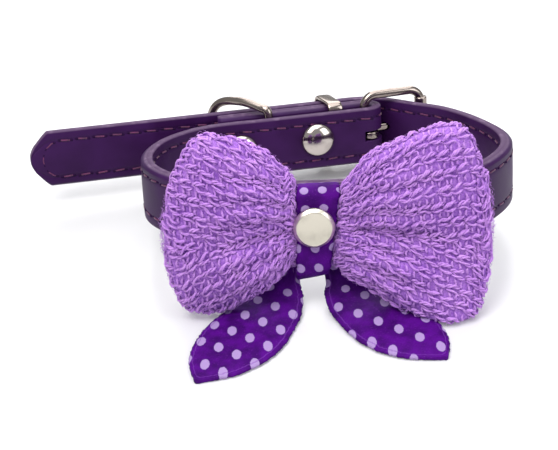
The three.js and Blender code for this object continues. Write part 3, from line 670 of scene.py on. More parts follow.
wireRadius, wireSides = collar["wireRadius"] * mm, metal["wireSides"]
buckleWay = planNormal(math.radians(collar["buckleTurn"]))
framePiece = ringed("buckleWire", wire(placed(wireFrame()), wireRadius, wireSides, buckleWay))
fixed(framePiece, "collar", nickel, ["buckle_frame"])


def sleeveGrid():
    # The far bar's sleeve: a rounded profile turned about an upright line.
    half = buckle["across"] / 2 - collar["wireRadius"] - buckle["corner"] * 0.6
    wide = collar["sleeveRadius"]
    profile = rounded([(0.001, -half), (wide, -half), (wide, half), (0.001, half)], 0.4)
    radius, height = profile[:, :1], profile[:, 1:]
    x, y = bucklePoint(collar["bucklePitch"], 0.0)
    turn = fullTurn(40)[None, :]
    parts = np.broadcast_arrays(x + radius * np.cos(turn), y + radius * np.sin(turn), height)
    return placed(np.stack(parts, axis=-1))


fixed(capped("buckleSleeve", sleeveGrid()), "collar", nickel)


def tongueFace(along):
    # How far out the tongue's inner face lies: it climbs from the heel bar's wire to the sleeve.
    climb = (collar["sleeveRadius"] - collar["wireRadius"]) / collar["bucklePitch"]
    return collar["gap"] + collar["wireRadius"] + climb * along


def tongueGrid():
    # A flat bar with round edges: rolled round the heel bar, then straight past the far bar, its tip rounded.
    inner = collar["wireRadius"] + collar["gap"]
    thick = buckle["tongueThick"]
    end = collar["bucklePitch"] + buckle["tongueTip"]
    turn = np.radians(90 + np.linspace(buckle["rollTurn"], 0, 40))
    # The roll's free lap stands out through the slot in the fold.
    fromBulge = (turn - math.radians(buckle["bulgeAt"])) / buckle["bulgeSpread"]
    radius = inner + thick / 2 + buckle["rollBulge"] * np.exp(-fromBulge ** 2)
    roll = np.stack([radius * np.cos(turn), radius * np.sin(turn)], axis=-1)
    along = np.linspace(1, end, 50)
    straight = np.stack([along, tongueFace(along) + thick / 2], axis=-1)
    line = np.concatenate([roll, straight])
    ahead = unit(np.gradient(line, axis=0))
    side = np.stack([-ahead[:, 1], ahead[:, 0]], axis=-1)
    slim = roundEnd(end - line[:, 0], 1.6, 0.45)
    slim[:len(roll)] = 1
    a = fullTurn(24)
    out = swollen(np.sin(a), 0.55) * thick / 2
    up = swollen(np.cos(a), 0.55) * buckle["tongueWidth"] / 2
    place = line[:, None, :] + side[:, None, :] * (out[None, :] * (0.55 + 0.45 * slim[:, None]))[..., None]
    plan = bucklePoint(place[..., 0], place[..., 1])
    height = up[None, :] * slim[:, None]
    return placed(np.concatenate([plan, height[..., None]], axis=-1))


fixed(capped("buckleTongue", tongueGrid()), "collar", nickel, ["buckle_tongue"])


def keeperGrid():
    # A flat band, its outer face crowned, carried round the folded layer and the free end.
    innerFace = -keeper["thick"] / 2
    outerFace = tailOffset + collar["strapThick"] / 2 + collar["gap"] + keeper["thick"]
    top = strapHalf + collar["gap"] + keeper["thick"]
    corner = keeper["thick"] * 2.3
    bends, ways = boxCorners(((innerFace + outerFace) / 2, 0), ((outerFace - innerFace) / 2, top), corner, 10)
    a = fullTurn(28)
    across = swollen(np.cos(a), keeper["squareness"]) * keeper["length"] / 2
    crown = keeper["crown"] * (1 - (2 * across / keeper["length"]) ** 2)
    deep = swollen(np.sin(a), keeper["squareness"]) * keeper["thick"] / 2
    radius = corner - keeper["thick"] / 2 + deep + np.where(np.sin(a) > 0, crown, 0)
    place = bends[:, None, :] + ways[:, None, :] * radius[None, :, None]
    out, up = place[..., 0], place[..., 1]
    plan = backPoint(keeper["at"] + across[None, :] - keeper["skew"] * out, out)
    return placed(np.concatenate([plan, up[..., None]], axis=-1))


fixed(ringed("keeperBand", keeperGrid()), "collar", nickel, ["keeper"])


def ringPath():
    # A straight bar and a squared oval: reach = widest + rest * sin(a) ** s, height = belly * cos(a) ** s.
    corner, widest = 0.12 * ring["reach"], 0.4 * ring["reach"]
    a = np.linspace(0, np.pi, 25)
    power = ring["squareness"]
    arc = np.column_stack([
        widest + (ring["reach"] - widest) * np.abs(np.sin(a)) ** power,
        ring["belly"] * swollen(np.cos(a), power),
    ])
    low = [(corner, -ring["bar"]), (0.25 * corner, 0.2 * corner - ring["bar"]), (0, corner - ring["bar"])]
    foot = np.array(low + [(0, -3.0), (0, 0), (0, 3.0)] + [(x, -z) for x, z in low[::-1]])
    outline = throughPoints(np.concatenate([arc, foot]), 240, closed=True)
    clearUp = strapHalf + collar["wireRadius"] + 2 * collar["gap"]
    near = (outline[:, 0] > ring["reach"] / 2) & (np.abs(outline[:, 1]) < clearUp)
    nearest = outline[near, 0].min()
    lean = math.acos((tailOffset + collar["strapThick"] / 2 + collar["gap"] + collar["wireRadius"]) / nearest)
    plan = backPoint(collar["ringAt"] - outline[:, 0] * math.sin(lean), outline[:, 0] * math.cos(lean))
    return np.column_stack([plan, outline[:, 1]]), lean


ringLine, ringLean = ringPath()
ringWay = planNormal(math.radians(collar["backTurn"]) + math.pi / 2 + ringLean)
ringPiece = ringed("ringWire", wire(placed(ringLine), wireRadius, wireSides, ringWay))
fixed(ringPiece, "ring", nickel, ["d_ring"])

rivet = {
    "dome": 4.4, "rise": 2.3, "back": 3.9, "post": 1.5, "plate": 0.6,
    "places": {"rivet_a": (-13.9, 0.8), "rivet_b": (-34.2, 0.0)},
}


def rivetGrid(along, up):
    # A dome with a rolled rim on the inner side, a thin washer on the outer side, and the post between.
    angle = np.linspace(0.001, np.pi / 2, 22)
    dome = np.stack([rivet["dome"] * np.sin(angle), -rivet["rise"] * np.cos(angle)], axis=-1)
    through = 2 * (wallFace + collar["gap"])
    rest = rounded([
        (rivet["dome"], 0), (rivet["dome"] - 0.15, 0.22), (rivet["post"], 0.22), (rivet["post"], through),
        (rivet["back"], through), (rivet["back"], through + rivet["plate"]), (0.9, through + rivet["plate"]),
        (0.6, through + rivet["plate"] * 0.55), (0.001, through + rivet["plate"] * 0.5),
    ], 0.25)
    start = backPoint(np.float64(along), np.float64(-wallFace - collar["gap"]))
    way = backPoint(0.0, 1.0) - backPoint(0.0, 0.0)
    grid = lathe(np.concatenate([dome, rest]), start, way, 48)
    return placed(grid + np.array([0, 0, up]))


for name, (along, up) in rivet["places"].items():
    fixed(capped(name + "Dome", rivetGrid(along, up)), "collar", bright, [name])

snap = {
    "radius": 4.8, "thick": 1.8, "bevel": 0.75, "post": 1.9, "socket": 2.4, "dish": 0.12,
    "studPost": 1.1, "studFlange": 4.4, "plate": 0.6,
}
tailsAt = collar["frontFace"] - collar["gap"]
bandBack = tailsAt - collar["satinThick"] - collar["gap"]
waistAt = bandBack - collar["bandThick"] - collar["gap"] - collar["waist"] / 2
bandFront = waistAt - collar["waist"] / 2 - collar["gap"] - collar["bandThick"]
capAt = bandFront - collar["gap"]


def snapGrids():
    # The cap: a flat face with a bevelled rim over a turned edge. The stud: a flanged pin from behind.
    reach = tailsAt - capAt
    face = reach + snap["thick"]
    wide, bevel, dish = snap["radius"], snap["bevel"], snap["dish"]
    flange, plate, bore = snap["studFlange"], snap["plate"], snap["studPost"] + collar["gap"]
    cap = rounded([
        (0.001, snap["socket"]), (bore, snap["socket"]), (bore, 0), (snap["post"], 0), (snap["post"], reach),
        (wide - 0.3, reach), (wide, reach + 0.3), (wide, face - bevel), (wide - bevel, face),
        (wide * 0.78, face - 0.02), (wide * 0.5, face - dish * 0.7), (0.001, face - dish),
    ], 0.22)
    behind = collar["frontFace"] + collar["strapThick"] + collar["gap"] + plate
    studReach = behind - tailsAt + snap["socket"] - collar["gap"]
    stud = rounded([
        (0.001, 0), (flange - 0.3, 0), (flange, 0.3), (flange, plate),
        (snap["studPost"], plate), (snap["studPost"], studReach), (0.001, studReach),
    ], 0.15)
    forwards = np.array([0.0, -1.0])
    return [placed(lathe(profile, np.array([collar["snapX"], start]), forwards, sides))
            for profile, start, sides in [(cap, tailsAt, 72), (stud, behind, 48)]]


capGrid, studGrid = snapGrids()
fixed(capped("snapCap", capGrid), "collar", satinMetal, ["snap_cap"])
fixed(capped("snapStud", studGrid), "collar", satinMetal, ["snap_stud"])


# Bow
print("bow")
bow = {
    "leftReach": 34.4, "rightReach": 40.5, "height": 48.6, "thick": 12.0,
    "crease": 2.6, "gatherDepth": 0.8, "gathers": 7, "floorMargin": 0.5,
    "bandTop": 8.6, "bandFoot": -13.6, "bandWidthTop": 10.4, "bandWidthFoot": 7.8, "bandLean": 2.0,
    "sunk": 0.66,  # the ground under the yarn, below the outside
    "rows": 3.8, "columns": 3.05, "yarn": 0.5,  # pitch of the courses and links; strand radius
    "light": (203, 152, 226), "dark": (176, 120, 209), "sheen": (222, 180, 245),
    # The ground's second, darker lilac is painted shade between the strands; random clouds mix it with the
    # first.
    "ground": (184, 130, 220), "groundShade": (144, 90, 190),
    "fan": (0.5, 0.1),  # how far the plain courses part, left and right
    "slant": (0.80, 0.58), "slantStart": 3.0,  # climb of the others per mm; mm at the knot
    "overCrease": (0.7, 0.6),  # how far slanted and plain courses pass it
    "fill": 0.4, "hairs": 4400, "hairLength": 1.4, "hairRadius": 0.035,
}


def ground(y):
    # Height of the surface in the collar's own frame.
    return (y * math.sin(tilt) - origin[2]) / math.cos(tilt)


def knotEdge(share, side):
    # The knot's edges at a share of its height, from its foot to its top.
    wide = (bow["bandWidthFoot"] + (bow["bandWidthTop"] - bow["bandWidthFoot"]) * share) / 2
    return collar["snapX"] + bow["bandLean"] * (share - 0.35) + side * wide


# A row for each section: at, top, bottom, thick, ahead, lean, in shares of the reach, height and thickness.
lobeTable = {
    -1: np.array([
        (0.085, 0.60, -0.47, 0.56, 0.12, 0.00), (0.184, 0.75, -0.57, 0.80, 0.22, 0.00),
        (0.359, 0.89, -0.70, 0.98, 0.30, -0.10), (0.557, 0.96, -0.82, 1.00, 0.32, -0.17),
        (0.697, 0.96, -0.85, 0.95, 0.33, -0.17), (0.802, 0.79, -0.83, 0.82, 0.33, -0.15),
        (0.913, 0.51, -0.66, 0.60, 0.33, -0.12), (0.971, 0.29, -0.40, 0.36, 0.33, -0.08),
        (1.000, 0.13, -0.12, 0.10, 0.33, -0.05),
    ]),
    1: np.array([
        (0.075, 0.48, -0.55, 0.54, 0.12, 0.05), (0.195, 0.69, -0.66, 0.82, 0.22, 0.16),
        (0.363, 0.81, -0.82, 0.97, 0.30, 0.32), (0.543, 0.91, -0.95, 1.00, 0.32, 0.50),
        (0.712, 0.965, -1.00, 0.98, 0.33, 0.58), (0.832, 0.90, -0.93, 0.86, 0.33, 0.55),
        (0.888, 0.75, -0.85, 0.73, 0.33, 0.50), (0.925, 0.56, -0.76, 0.63, 0.33, 0.44),
        (0.970, 0.43, -0.52, 0.42, 0.33, 0.30), (1.000, 0.16, -0.18, 0.12, 0.33, 0.10),
    ]),
}


def lobeEnds(side):
    # Where a lobe starts, under the knot's edge, and where it ends.
    edge = knotEdge(0, side) - collar["gap"] if side < 0 else knotEdge(1, side) + collar["gap"]
    return edge, collar["snapX"] + side * (bow["leftReach"] if side < 0 else bow["rightReach"])


def lobeSizes(side, at):
    # The table's columns at any place along the lobe, in millimetres.
    half = bow["height"] / 2
    inset = collar["bandThick"] + collar["gap"]
    top, foot = (bow["bandTop"] - inset) / half, (bow["bandFoot"] + inset) / half
    waist = np.array([0, top, foot, collar["waist"] / bow["thick"], 0, 0])
    puffed = np.array([0.022, 0.46 if side < 0 else 0.38, -0.40 if side < 0 else -0.46, 0.44, 0.06, 0])
    table = np.vstack([waist, puffed, lobeTable[side]])
    columns = [eased(table[:, 0], table[:, k], at) for k in range(1, 6)]
    return [columns[0] * half, columns[1] * half] + [c * bow["thick"] for c in columns[2:]]


def creaseAt(side, at):
    # Height of the fold that runs out from the knot along a lobe's front.
    return -bow["height"] / 2 * at * (0.08 if side < 0 else 0.20)


def lobePoint(side, at, turn, inset):
    # A place of a lobe: an oval section, dented by the crease and the gathers; turn 0 is the front's middle.
    top, bottom, thick, forward, lean = lobeSizes(side, at)
    half = bow["height"] / 2
    middle, tall, deep = (top + bottom) / 2, (top - bottom) / 2 - inset, thick / 2 - inset
    start, end = lobeEnds(side)
    swell = smoothstep(0, 0.2, at) * (1 - smoothstep(0.35, 0.95, at))
    gathered = smoothstep(0, 0.1, at) * (1 - smoothstep(0.2, 0.75, at))
    creaseUp = creaseAt(side, at)
    creaseWide = half * (0.12 + 0.14 * at)
    face = np.cos(turn)
    z = middle + tall * np.sin(turn)
    bulge = swollen(face, 0.85) * np.maximum(deep, 0.05)
    dent = bow["crease"] * swell * np.exp(-(((z - creaseUp) / creaseWide) ** 2))
    pleats = np.cos(np.pi * bow["gathers"] * (z - middle) / np.maximum(tall, 0.5) + side)
    ripple = bow["gatherDepth"] * gathered * pleats
    y = waistAt - forward - (bulge - face * (dent + ripple)) - lean * np.minimum(0, z / half) ** 2
    share = np.clip((z - bow["bandFoot"]) / (bow["bandTop"] - bow["bandFoot"]), 0, 1)
    drawn = (knotEdge(share, side) - start) * (1 - at) ** 5
    x = start + (end - start) * at + drawn
    return np.stack(np.broadcast_arrays(x, y, z), axis=-1)


def settled(points, inset):
    # Pushes a place that would be below the surface up on to it; softly, so that the edge stays round.
    rest = ground(points[..., 1]) + inset
    low = points[..., 2] - rest
    points = points.copy()
    points[..., 2] = rest + 0.5 * (low + np.sqrt(low ** 2 + 0.35))
    return points


class Lobe:
    # A lobe's surface as a fine grid; places on it are asked for by the way along and the arc off the front.
    def __init__(self, side):
        self.side = side
        self.at = 1 - (1 - np.linspace(0, 1, 260)) ** 1.15
        self.turn = np.linspace(-np.pi, np.pi, 361)
        at, turn = np.broadcast_arrays(self.at[:, None], self.turn[None, :])
        self.grid = settled(lobePoint(side, at, turn, bow["sunk"]), bow["floorMargin"] + bow["sunk"])
        step = np.linalg.norm(np.diff(self.grid, axis=1), axis=-1)
        arc = np.concatenate([np.zeros((len(self.at), 1)), np.cumsum(step, axis=1)], axis=1)
        self.arc = arc - arc[:, 180:181]
        away = np.abs(self.grid[:, 90:271, 2] - creaseAt(side, self.at)[:, None])
        self.crease = np.take_along_axis(self.arc[:, 90:271], away.argmin(axis=1)[:, None], axis=1)[:, 0]
        self.run = runAlong(self.grid[:, 180])
        across = np.roll(self.grid, -1, axis=1) - np.roll(self.grid, 1, axis=1)
        across[:, 0] = across[:, -1] = self.grid[:, 1] - self.grid[:, -2]
        self.normal = unit(np.cross(across, np.gradient(self.grid, axis=0)) * -side)

    def places(self, run, arc):
        # Reads the grid at (distance along the front line, distance round from it); also the way outwards.
        row = np.interp(run, self.run, np.arange(len(self.at)))
        low = np.clip(row.astype(int), 0, len(self.at) - 2)
        share = row - low
        found, outs = [], []
        for k in range(2):
            column = self.columnOf(low + k, arc)
            left = np.clip(column.astype(int), 0, len(self.turn) - 2)
            part = (column - left)[..., None]
            found.append(self.grid[low + k, left] * (1 - part) + self.grid[low + k, left + 1] * part)
            outs.append(self.normal[low + k, left] * (1 - part) + self.normal[low + k, left + 1] * part)
        share = share[..., None]
        return found[0] * (1 - share) + found[1] * share, unit(outs[0] * (1 - share) + outs[1] * share)

    def columnOf(self, row, arc):
        # The column at an arc, in a row: a search along each row's own rising arc, all rows at once.
        span = 400.0
        stacked = (self.arc + span * np.arange(len(self.at))[:, None]).ravel()
        wanted = arc + span * row
        first = row * len(self.turn)
        spot = np.clip(np.searchsorted(stacked, wanted) - 1, first, first + len(self.turn) - 2)
        part = np.clip((wanted - stacked[spot]) / np.maximum(stacked[spot + 1] - stacked[spot], 1e-9), 0, 1)
        return spot - first + part

    def halfRound(self, run):
        # Half the way round the section, upwards and downwards from the front line.
        return np.interp(run, self.run, self.arc[:, -1]), np.interp(run, self.run, -self.arc[:, 0])


lobes = {side: Lobe(side) for side in (-1, 1)}


def bowGround():
    # The cloth under the yarn: both lobes' grids and the waist between them, one closed skin.
    left, right = lobes[-1].grid[::-2, :-1:2], lobes[1].grid[1::2, :-1:2]
    share = np.linspace(0, 1, 12)[1:-1, None, None]
    waist = left[-1] * (1 - share) + right[0] * share
    return placed(np.concatenate([left, waist, right]))


def knitFinish(name, light, dark, fuzz):
    # Soft yarn: clouds of two lilacs, fine fibres across it, and a sheen that lights its edges.
    finish = Finish(name)
    cloud = finish.ramp(finish.noise(170, 3), 0.32, 0.68)
    fine = finish.ramp(finish.noise(1700, 5), 0.35, 0.65)
    shade = finish.plus(finish.math("MULTIPLY", cloud, 0.35), fine, 0.65)
    finish.colour(finish.mix(shade, colourOf(dark), colourOf(light)))
    finish.bump(finish.math("ADD", finish.noise(5200, 4), finish.noise(2400, 3)), fuzz, 0.00012)
    finish.set(Roughness=0.9, Sheen_Weight=0.45, Sheen_Roughness=0.5, Specular_IOR_Level=0.15)
    finish.set(Sheen_Tint=colourOf(bow["sheen"]))
    return finish.material


def yarnCells(lobe):
    # Every link of the knit, by the way along and the number of its row; once as plain, once as slanted.
    middle = np.arange(0.9, lobe.run[-1] - 0.6, bow["columns"])
    widest = max(sum(lobe.halfRound(r)) for r in lobe.run)
    count = int(widest / bow["rows"]) + 1
    rows = np.arange(-count, count + 1) + 0.5
    slanted, run, row = np.meshgrid([False, True], middle, rows, indexing="ij")
    run = run + np.where(np.arange(len(rows)) % 2 == 0, 0.0, 0.5) * bow["columns"]
    return run.ravel(), row.ravel(), slanted.ravel(), widest


def rowArc(lobe, run, row, slanted, widest):
    # Plain courses lie at arc = row * pitch * share, squeezed towards the knot and fanned beyond it. Slanted
    # ones lie at arc = start + slant * along + row * pitch * squeeze, and come out of the crease in turn.
    up, down = lobe.halfRound(run)
    ahead = run / lobe.run[-1]
    share = np.clip((up + down) / widest, 0.3, 1)
    share = share + (1 - share) * smoothstep(0.45, 0.6, ahead)
    spread, slant = [bow[key][0 if lobe.side < 0 else 1] for key in ("fan", "slant")]
    plain = row * bow["rows"] * share * (1 - spread / 2 + spread * ahead)
    squeeze = 0.6 + 0.4 * smoothstep(0, 0.5, ahead)
    steep = -lobe.side * (bow["slantStart"] + slant * run) + row * bow["rows"] * squeeze
    return np.where(slanted, steep, plain), share, up, down


def strandsOf(lobe, offsets, lifts, plies, radius):
    # Strands of one kind on every cell: offsets are (along, across) in shares of a cell, lifts the way out.
    run, row, slanted, widest = yarnCells(lobe)
    rng = np.random.default_rng(7 + lobe.side)
    wobble = rng.normal(0, 0.045, (len(run), 2))
    t = np.linspace(0, 1, len(offsets))
    along = offsets[None, :, 0] + wobble[:, :1]
    across = offsets[None, :, 1] + wobble[:, 1:]
    runs = run[:, None] + along * bow["columns"]
    arcs, share, up, down = rowArc(lobe, runs, row[:, None] + across, slanted[:, None], widest)
    beyond = (arcs - np.interp(runs, lobe.run, lobe.crease)).mean(axis=1) * -lobe.side
    keep = np.where(slanted, beyond > -bow["overCrease"][0], beyond < bow["overCrease"][1])
    keep &= (np.abs(arcs).max(axis=1) < 0.97 * np.minimum(up, down).min(axis=1))
    keep &= (runs.min(axis=1) > 0.15) & (runs.max(axis=1) < lobe.run[-1] - 0.3)
    runs, arcs, share = runs[keep], arcs[keep], share[keep]
    centre, out = lobe.places(runs, arcs)
    centre = centre + out * (lifts * (0.6 + 0.4 * share))[..., None]
    thick = radius * (0.62 + 0.38 * share.mean(axis=1))
    side = unit(np.cross(unit(np.gradient(centre, axis=1)), out))
    aside, plyWidth = (0.62, 0.52) if plies > 1 else (0, 1.0)  # twisted plies lie round the strand's middle
    lines = []
    for ply in range(plies):
        phase = 2 * np.pi * (ply / plies + 1.1 * t[None, :]) + rng.uniform(0, 6.28, (len(centre), 1))
        turnOut = np.cos(phase)[..., None] * side + np.sin(phase)[..., None] * out
        lines.append(centre + turnOut * (thick * aside)[:, None, None])
    lines, ways = np.concatenate(lines), np.tile(out, (plies, 1, 1))
    points = placed(lines)
    width = np.tile(thick * plyWidth, plies) * mm
    return threads(points, unit(placed(lines + ways) - points), width, 5, 0.55)


def arch(low, high, count):
    # How far a strand stands out: sunk at both ends, highest past its middle.
    t = np.linspace(0, 1, count)
    return low + (high - low) * np.sin(np.pi * t) ** 0.7


def between(points, count):
    # A smooth strand through a few places of the cell.
    return easedRows(np.linspace(0, 1, len(points)), points, np.linspace(0, 1, count))


def hairTubes(lobe):
    # Short loose fibres all over a lobe: each leaves the yarn and bends over, its way set by seeded numbers.
    rng = np.random.default_rng(31 + lobe.side)
    count = bow["hairs"]
    run = rng.uniform(0.4, lobe.run[-1] - 0.2, count)
    up, down = lobe.halfRound(run)
    arc = rng.uniform(-0.97, 0.97, count) * np.minimum(up, down)
    base, out = lobe.places(run, arc)
    along = unit(np.cross(out, rng.normal(0, 1, (count, 3))))
    t = np.linspace(0, 1, 5)[None, :, None]
    long = (bow["hairLength"] * rng.uniform(0.5, 1.0, count))[:, None, None]
    lift = 0.55 + t * (1 - 0.45 * t) * long * rng.uniform(0.2, 0.9, (count, 1, 1))
    line = base[:, None] + out[:, None] * lift + along[:, None] * t ** 1.4 * long
    points = placed(line)
    ways = np.broadcast_to(unit(placed(base + out) - placed(base))[:, None], points.shape)
    return threads(points, ways, np.full(count, bow["hairRadius"] * mm), 3, 0.4)


upperArm = between([(-0.50, 0.02), (-0.15, 0.19), (0.25, 0.30), (0.62, 0.34)], 8)
lowerArm = between([(-0.46, -0.03), (-0.05, -0.10), (0.35, -0.13), (0.66, -0.10)], 8)
uprights = [between([(x, 0.30), (x + 0.6 * x, 0.52), (x, 0.78)], 5) for x in (-0.2, 0.2)]

# The cloth under the yarn runs down to a darker lilac than the yarn's: painted shade between the strands.
shadedGroundFinish = knitFinish("knitGroundShaded", bow["ground"], bow["groundShade"], 0.8)
bowPiece = fixed(capped("bowGround", bowGround()), "collar", shadedGroundFinish, ["bow"])
yarnFinish = knitFinish("lilacYarn", bow["light"], bow["dark"], 0.6)
for side, lobe in lobes.items():
    label = "Left" if side < 0 else "Right"
    flipped = np.array([side, 1.0])
    kinds = [
        ("linksUpper", upperArm, arch(0.1, 0.7, 8), 3, bow["yarn"]),
        ("linksLower", lowerArm, arch(0.05, 0.62, 8), 2, bow["yarn"] * 0.9),
        ("uprightsA", uprights[0], arch(0.1, 0.36, 5), 1, bow["yarn"] * 0.6),
        ("uprightsB", uprights[1], arch(0.1, 0.36, 5), 1, bow["yarn"] * 0.6),
    ]
    for kind, offsets, lifts, plies, radius in kinds:
        offsets = offsets * flipped if side < 0 else offsets
        piece = threadPiece(kind + label, strandsOf(lobe, offsets, lifts, plies, radius))
        fixed(piece, "collar", yarnFinish)
    fixed(threadPiece("fuzz" + label, hairTubes(lobe)), "collar", yarnFinish)


# Knot and tails
print("knot and tails")
satin = {
    "width": 20.4, "topstitch": 1.15, "dome": 0.5, "fray": 0.1, "clear": 0.06,
    "unroll": 1.7,  # how much the dots' flat cloth gains for each mm that a tail climbs
    "cloth": (80, 5, 124), "deep": (55, 2, 90), "specks": (114, 48, 150), "seam": (122, 58, 166),
    "dots": (160, 134, 186), "dotWidth": 2.1, "dotDepth": 1.8,
    "leaves": {
        # side, length, spread, root, and the dots' lattice on the surface: an anchor and its two steps
        "left": (-1, 41.7, 34.4, 5.6, (-4.75, -38.25), (4.05, -3.3), (3.0, 6.5)),
        "right": (1, 38.8, 40.3, 4.1, (29.18, -37.44), (4.42, -3.7), (2.0, 7.95)),
    },
}
# A tail from the knot's foot to its tip: run, height of the root, and half widths to the front and the back.
leafTable = np.array([
    (0.00, 1.00, 0.22, 0.30), (0.05, 0.62, 0.30, 0.45), (0.11, 0.27, 0.50, 0.66), (0.19, 0.08, 0.70, 0.80),
    (0.30, 0.00, 0.88, 0.88), (0.43, 0.00, 1.02, 0.92), (0.55, 0.00, 1.08, 0.90), (0.66, 0.00, 1.05, 0.80),
    (0.77, 0.00, 0.92, 0.64), (0.87, 0.00, 0.70, 0.42), (0.94, 0.00, 0.44, 0.16), (1.00, 0.00, 0.20, -0.12),
])


def flatOval(places, power):
    # A closed flat section, over and back: its share of the half width, and its share of half the thickness.
    t = np.linspace(-1, 1, places)
    edge = np.sqrt(1 - np.abs(t) ** power)
    return np.concatenate([t, t[::-1][1:-1]]), np.concatenate([edge, -edge[1:-1]])


def leafGrid(side, length, spread, root, anchor, first, second):
    # Sections across a middle line that drops from the knot and runs on over the surface; each is a thin
    # flat oval. Also the dots' lattice coordinates, and how far each place lies from the leaf's edge.
    spread = math.radians(spread)
    rest = collar["satinThick"] / 2

    def rootAt(aside, down):
        # A place at the tail's root behind the knot, in the row frame.
        x = collar["snapX"] + side * root * aside
        return turned @ np.array([x, tailsAt - rest, bow["bandFoot"] * down]) + origin

    foot = rootAt(1, 1)
    run = leafTable[:, 0]
    over = np.column_stack([
        foot[0] + side * run * length * math.sin(spread),
        foot[1] - run * length * math.cos(spread),
        rest + leafTable[:, 1] * (foot[2] - rest),
    ])
    middle = np.vstack([rootAt(0.4, 0.15), rootAt(0.75, 0.6), over])
    bend = np.concatenate([[0, 0], spread * smoothstep(0, 0.3, run)])
    front, back = (np.concatenate([[0.16, 0.2], leafTable[:, k]]) for k in (2, 3))
    at = runAlong(middle)
    fine = np.linspace(0, at[-1], 170)
    line = easedRows(at, middle, fine)
    line[:, 2] = np.maximum(line[:, 2], rest)
    bend, front, back = (eased(at, values, fine) for values in (bend, front, back))
    ahead = unit(np.gradient(line, axis=0))
    across = np.stack([-side * np.cos(bend), -np.sin(bend), 0 * bend], axis=-1)
    through = unit(np.cross(ahead, across))
    through *= np.where(through[:, 2:] < 0, -1, 1)
    share, lift = flatOval(49, 14)
    rng = np.random.default_rng(11 + side)
    frayed = rng.normal(0, satin["fray"], (len(fine), 2)) * (fine > at[3])[:, None]
    low = -back * satin["width"] / 2 + frayed[:, 0]
    top = front * satin["width"] / 2 + frayed[:, 1]
    offset = (low + top)[:, None] / 2 + (top - low)[:, None] / 2 * share[None, :]
    fromEdge = np.minimum(top[:, None] - offset, offset - low[:, None])
    tip = np.clip((fine[-1] - fine) / 6, 0, 1)
    fromEdge = np.minimum(fromEdge, (fine[-1] - fine)[:, None])
    puff = smoothstep(0, 5, fromEdge) * tip[:, None] * satin["dome"]
    rise = lift[None, :] * rest + puff + satin["clear"]
    grid = line[:, None, :] + across[:, None, :] * offset[..., None] + through[:, None, :] * rise[..., None]
    # Along the middle line, the flat cloth goes on where the leaf leaves the surface.
    laid = grid[..., :2].copy()
    climb = np.concatenate([[0], np.cumsum(np.abs(np.diff(line[:, 2])))])
    laid[..., 1] += (climb[-1] - climb)[:, None] * satin["unroll"]
    step = np.linalg.inv(np.column_stack([first, second]))
    lattice = (laid - np.array(anchor)) @ step.T
    return grid * mm, lattice, fromEdge


def dotLattice(finish, first, second, wide, deep):
    # Distance to the nearest dot: the lattice coordinates less their nearest whole numbers, then back to mm.
    flat = finish.flat()
    left = [finish.math("SUBTRACT", flat[k], finish.math("ROUND", flat[k])) for k in range(2)]
    squares = []
    for k, size in [(0, wide), (1, deep)]:
        total = finish.plus(finish.math("MULTIPLY", left[0], first[k]), left[1], second[k])
        share = finish.math("ABSOLUTE", finish.math("DIVIDE", total, size / 2))
        squares.append(finish.math("POWER", share, 2.0))
    distance = finish.math("SQRT", finish.math("ADD", *squares))
    ragged = finish.plus(distance, finish.math("SUBTRACT", finish.noise(2300, 2), 0.5), 0.3)
    return finish.ramp(ragged, 1.08, 0.92)


def satinFinish(name, first, second, wide, deep, seam):
    # Purple satin printed with lilac dots: a fine twill, stray light threads, and a seam line by the edge.
    finish = Finish(name)
    dots = dotLattice(finish, first, second, wide, deep)
    cloud = finish.ramp(finish.noise(260, 4), 0.3, 0.7)
    specks = finish.ramp(finish.noise(2600, 2), 0.62, 0.74)
    cloth = finish.mix(cloud, colourOf(satin["deep"]), colourOf(satin["cloth"]))
    cloth = finish.mix(finish.math("MULTIPLY", specks, 0.4), cloth, colourOf(satin["specks"]))
    shade = finish.mix(dots, cloth, colourOf(satin["dots"]))
    twill = finish.texture("Wave", {"bands_direction": "DIAGONAL"}, Scale=1150.0, Distortion=1.2)
    height = finish.plus(finish.noise(1300, 3), twill["Fac"], 0.5)
    if seam:
        near = finish.node("Attribute", {"attribute_name": "fromEdge"})
        gap = finish.math("ABSOLUTE", finish.math("SUBTRACT", near.outputs["Fac"], seam))
        line = finish.ramp(gap, 0.24, 0.08)
        shade = finish.mix(finish.math("MULTIPLY", line, 0.4), shade, colourOf(satin["seam"]))
        height = finish.plus(height, line, -2.5)
    finish.colour(shade)
    finish.bump(height, 0.5, 0.00012)
    finish.set(Roughness=0.62, Specular_IOR_Level=0.08)
    return finish.material


for name, leaf in satin["leaves"].items():
    grid, lattice, fromEdge = leafGrid(*leaf)
    piece = capped("tail" + name.title(), grid, lattice)
    edges = piece.data.attributes.new("fromEdge", "FLOAT", "POINT")
    edges.data.foreach_set("value", fromEdge.ravel().astype(np.float32))
    dotSize = (satin["dotWidth"], satin["dotWidth"] * satin["dotDepth"])
    material = satinFinish("dottedSatin" + name.title(), *leaf[5:], *dotSize, satin["topstitch"])
    fixed(piece, "collar", material, ["tails"])

band = {
    "rise": 0.6,  # of the upper edge over the solid's
    "slant": -0.16, "wave": 0.16, "drawn": 0.315, "dots": (2.0, 2.15),
    "rows": (9.2, 4.3, -5.5, -11.0), "starts": (-7.9, -7.7, -10.1, -9.3), "steps": (4.2, 4.9), "topStep": 3.9,
}


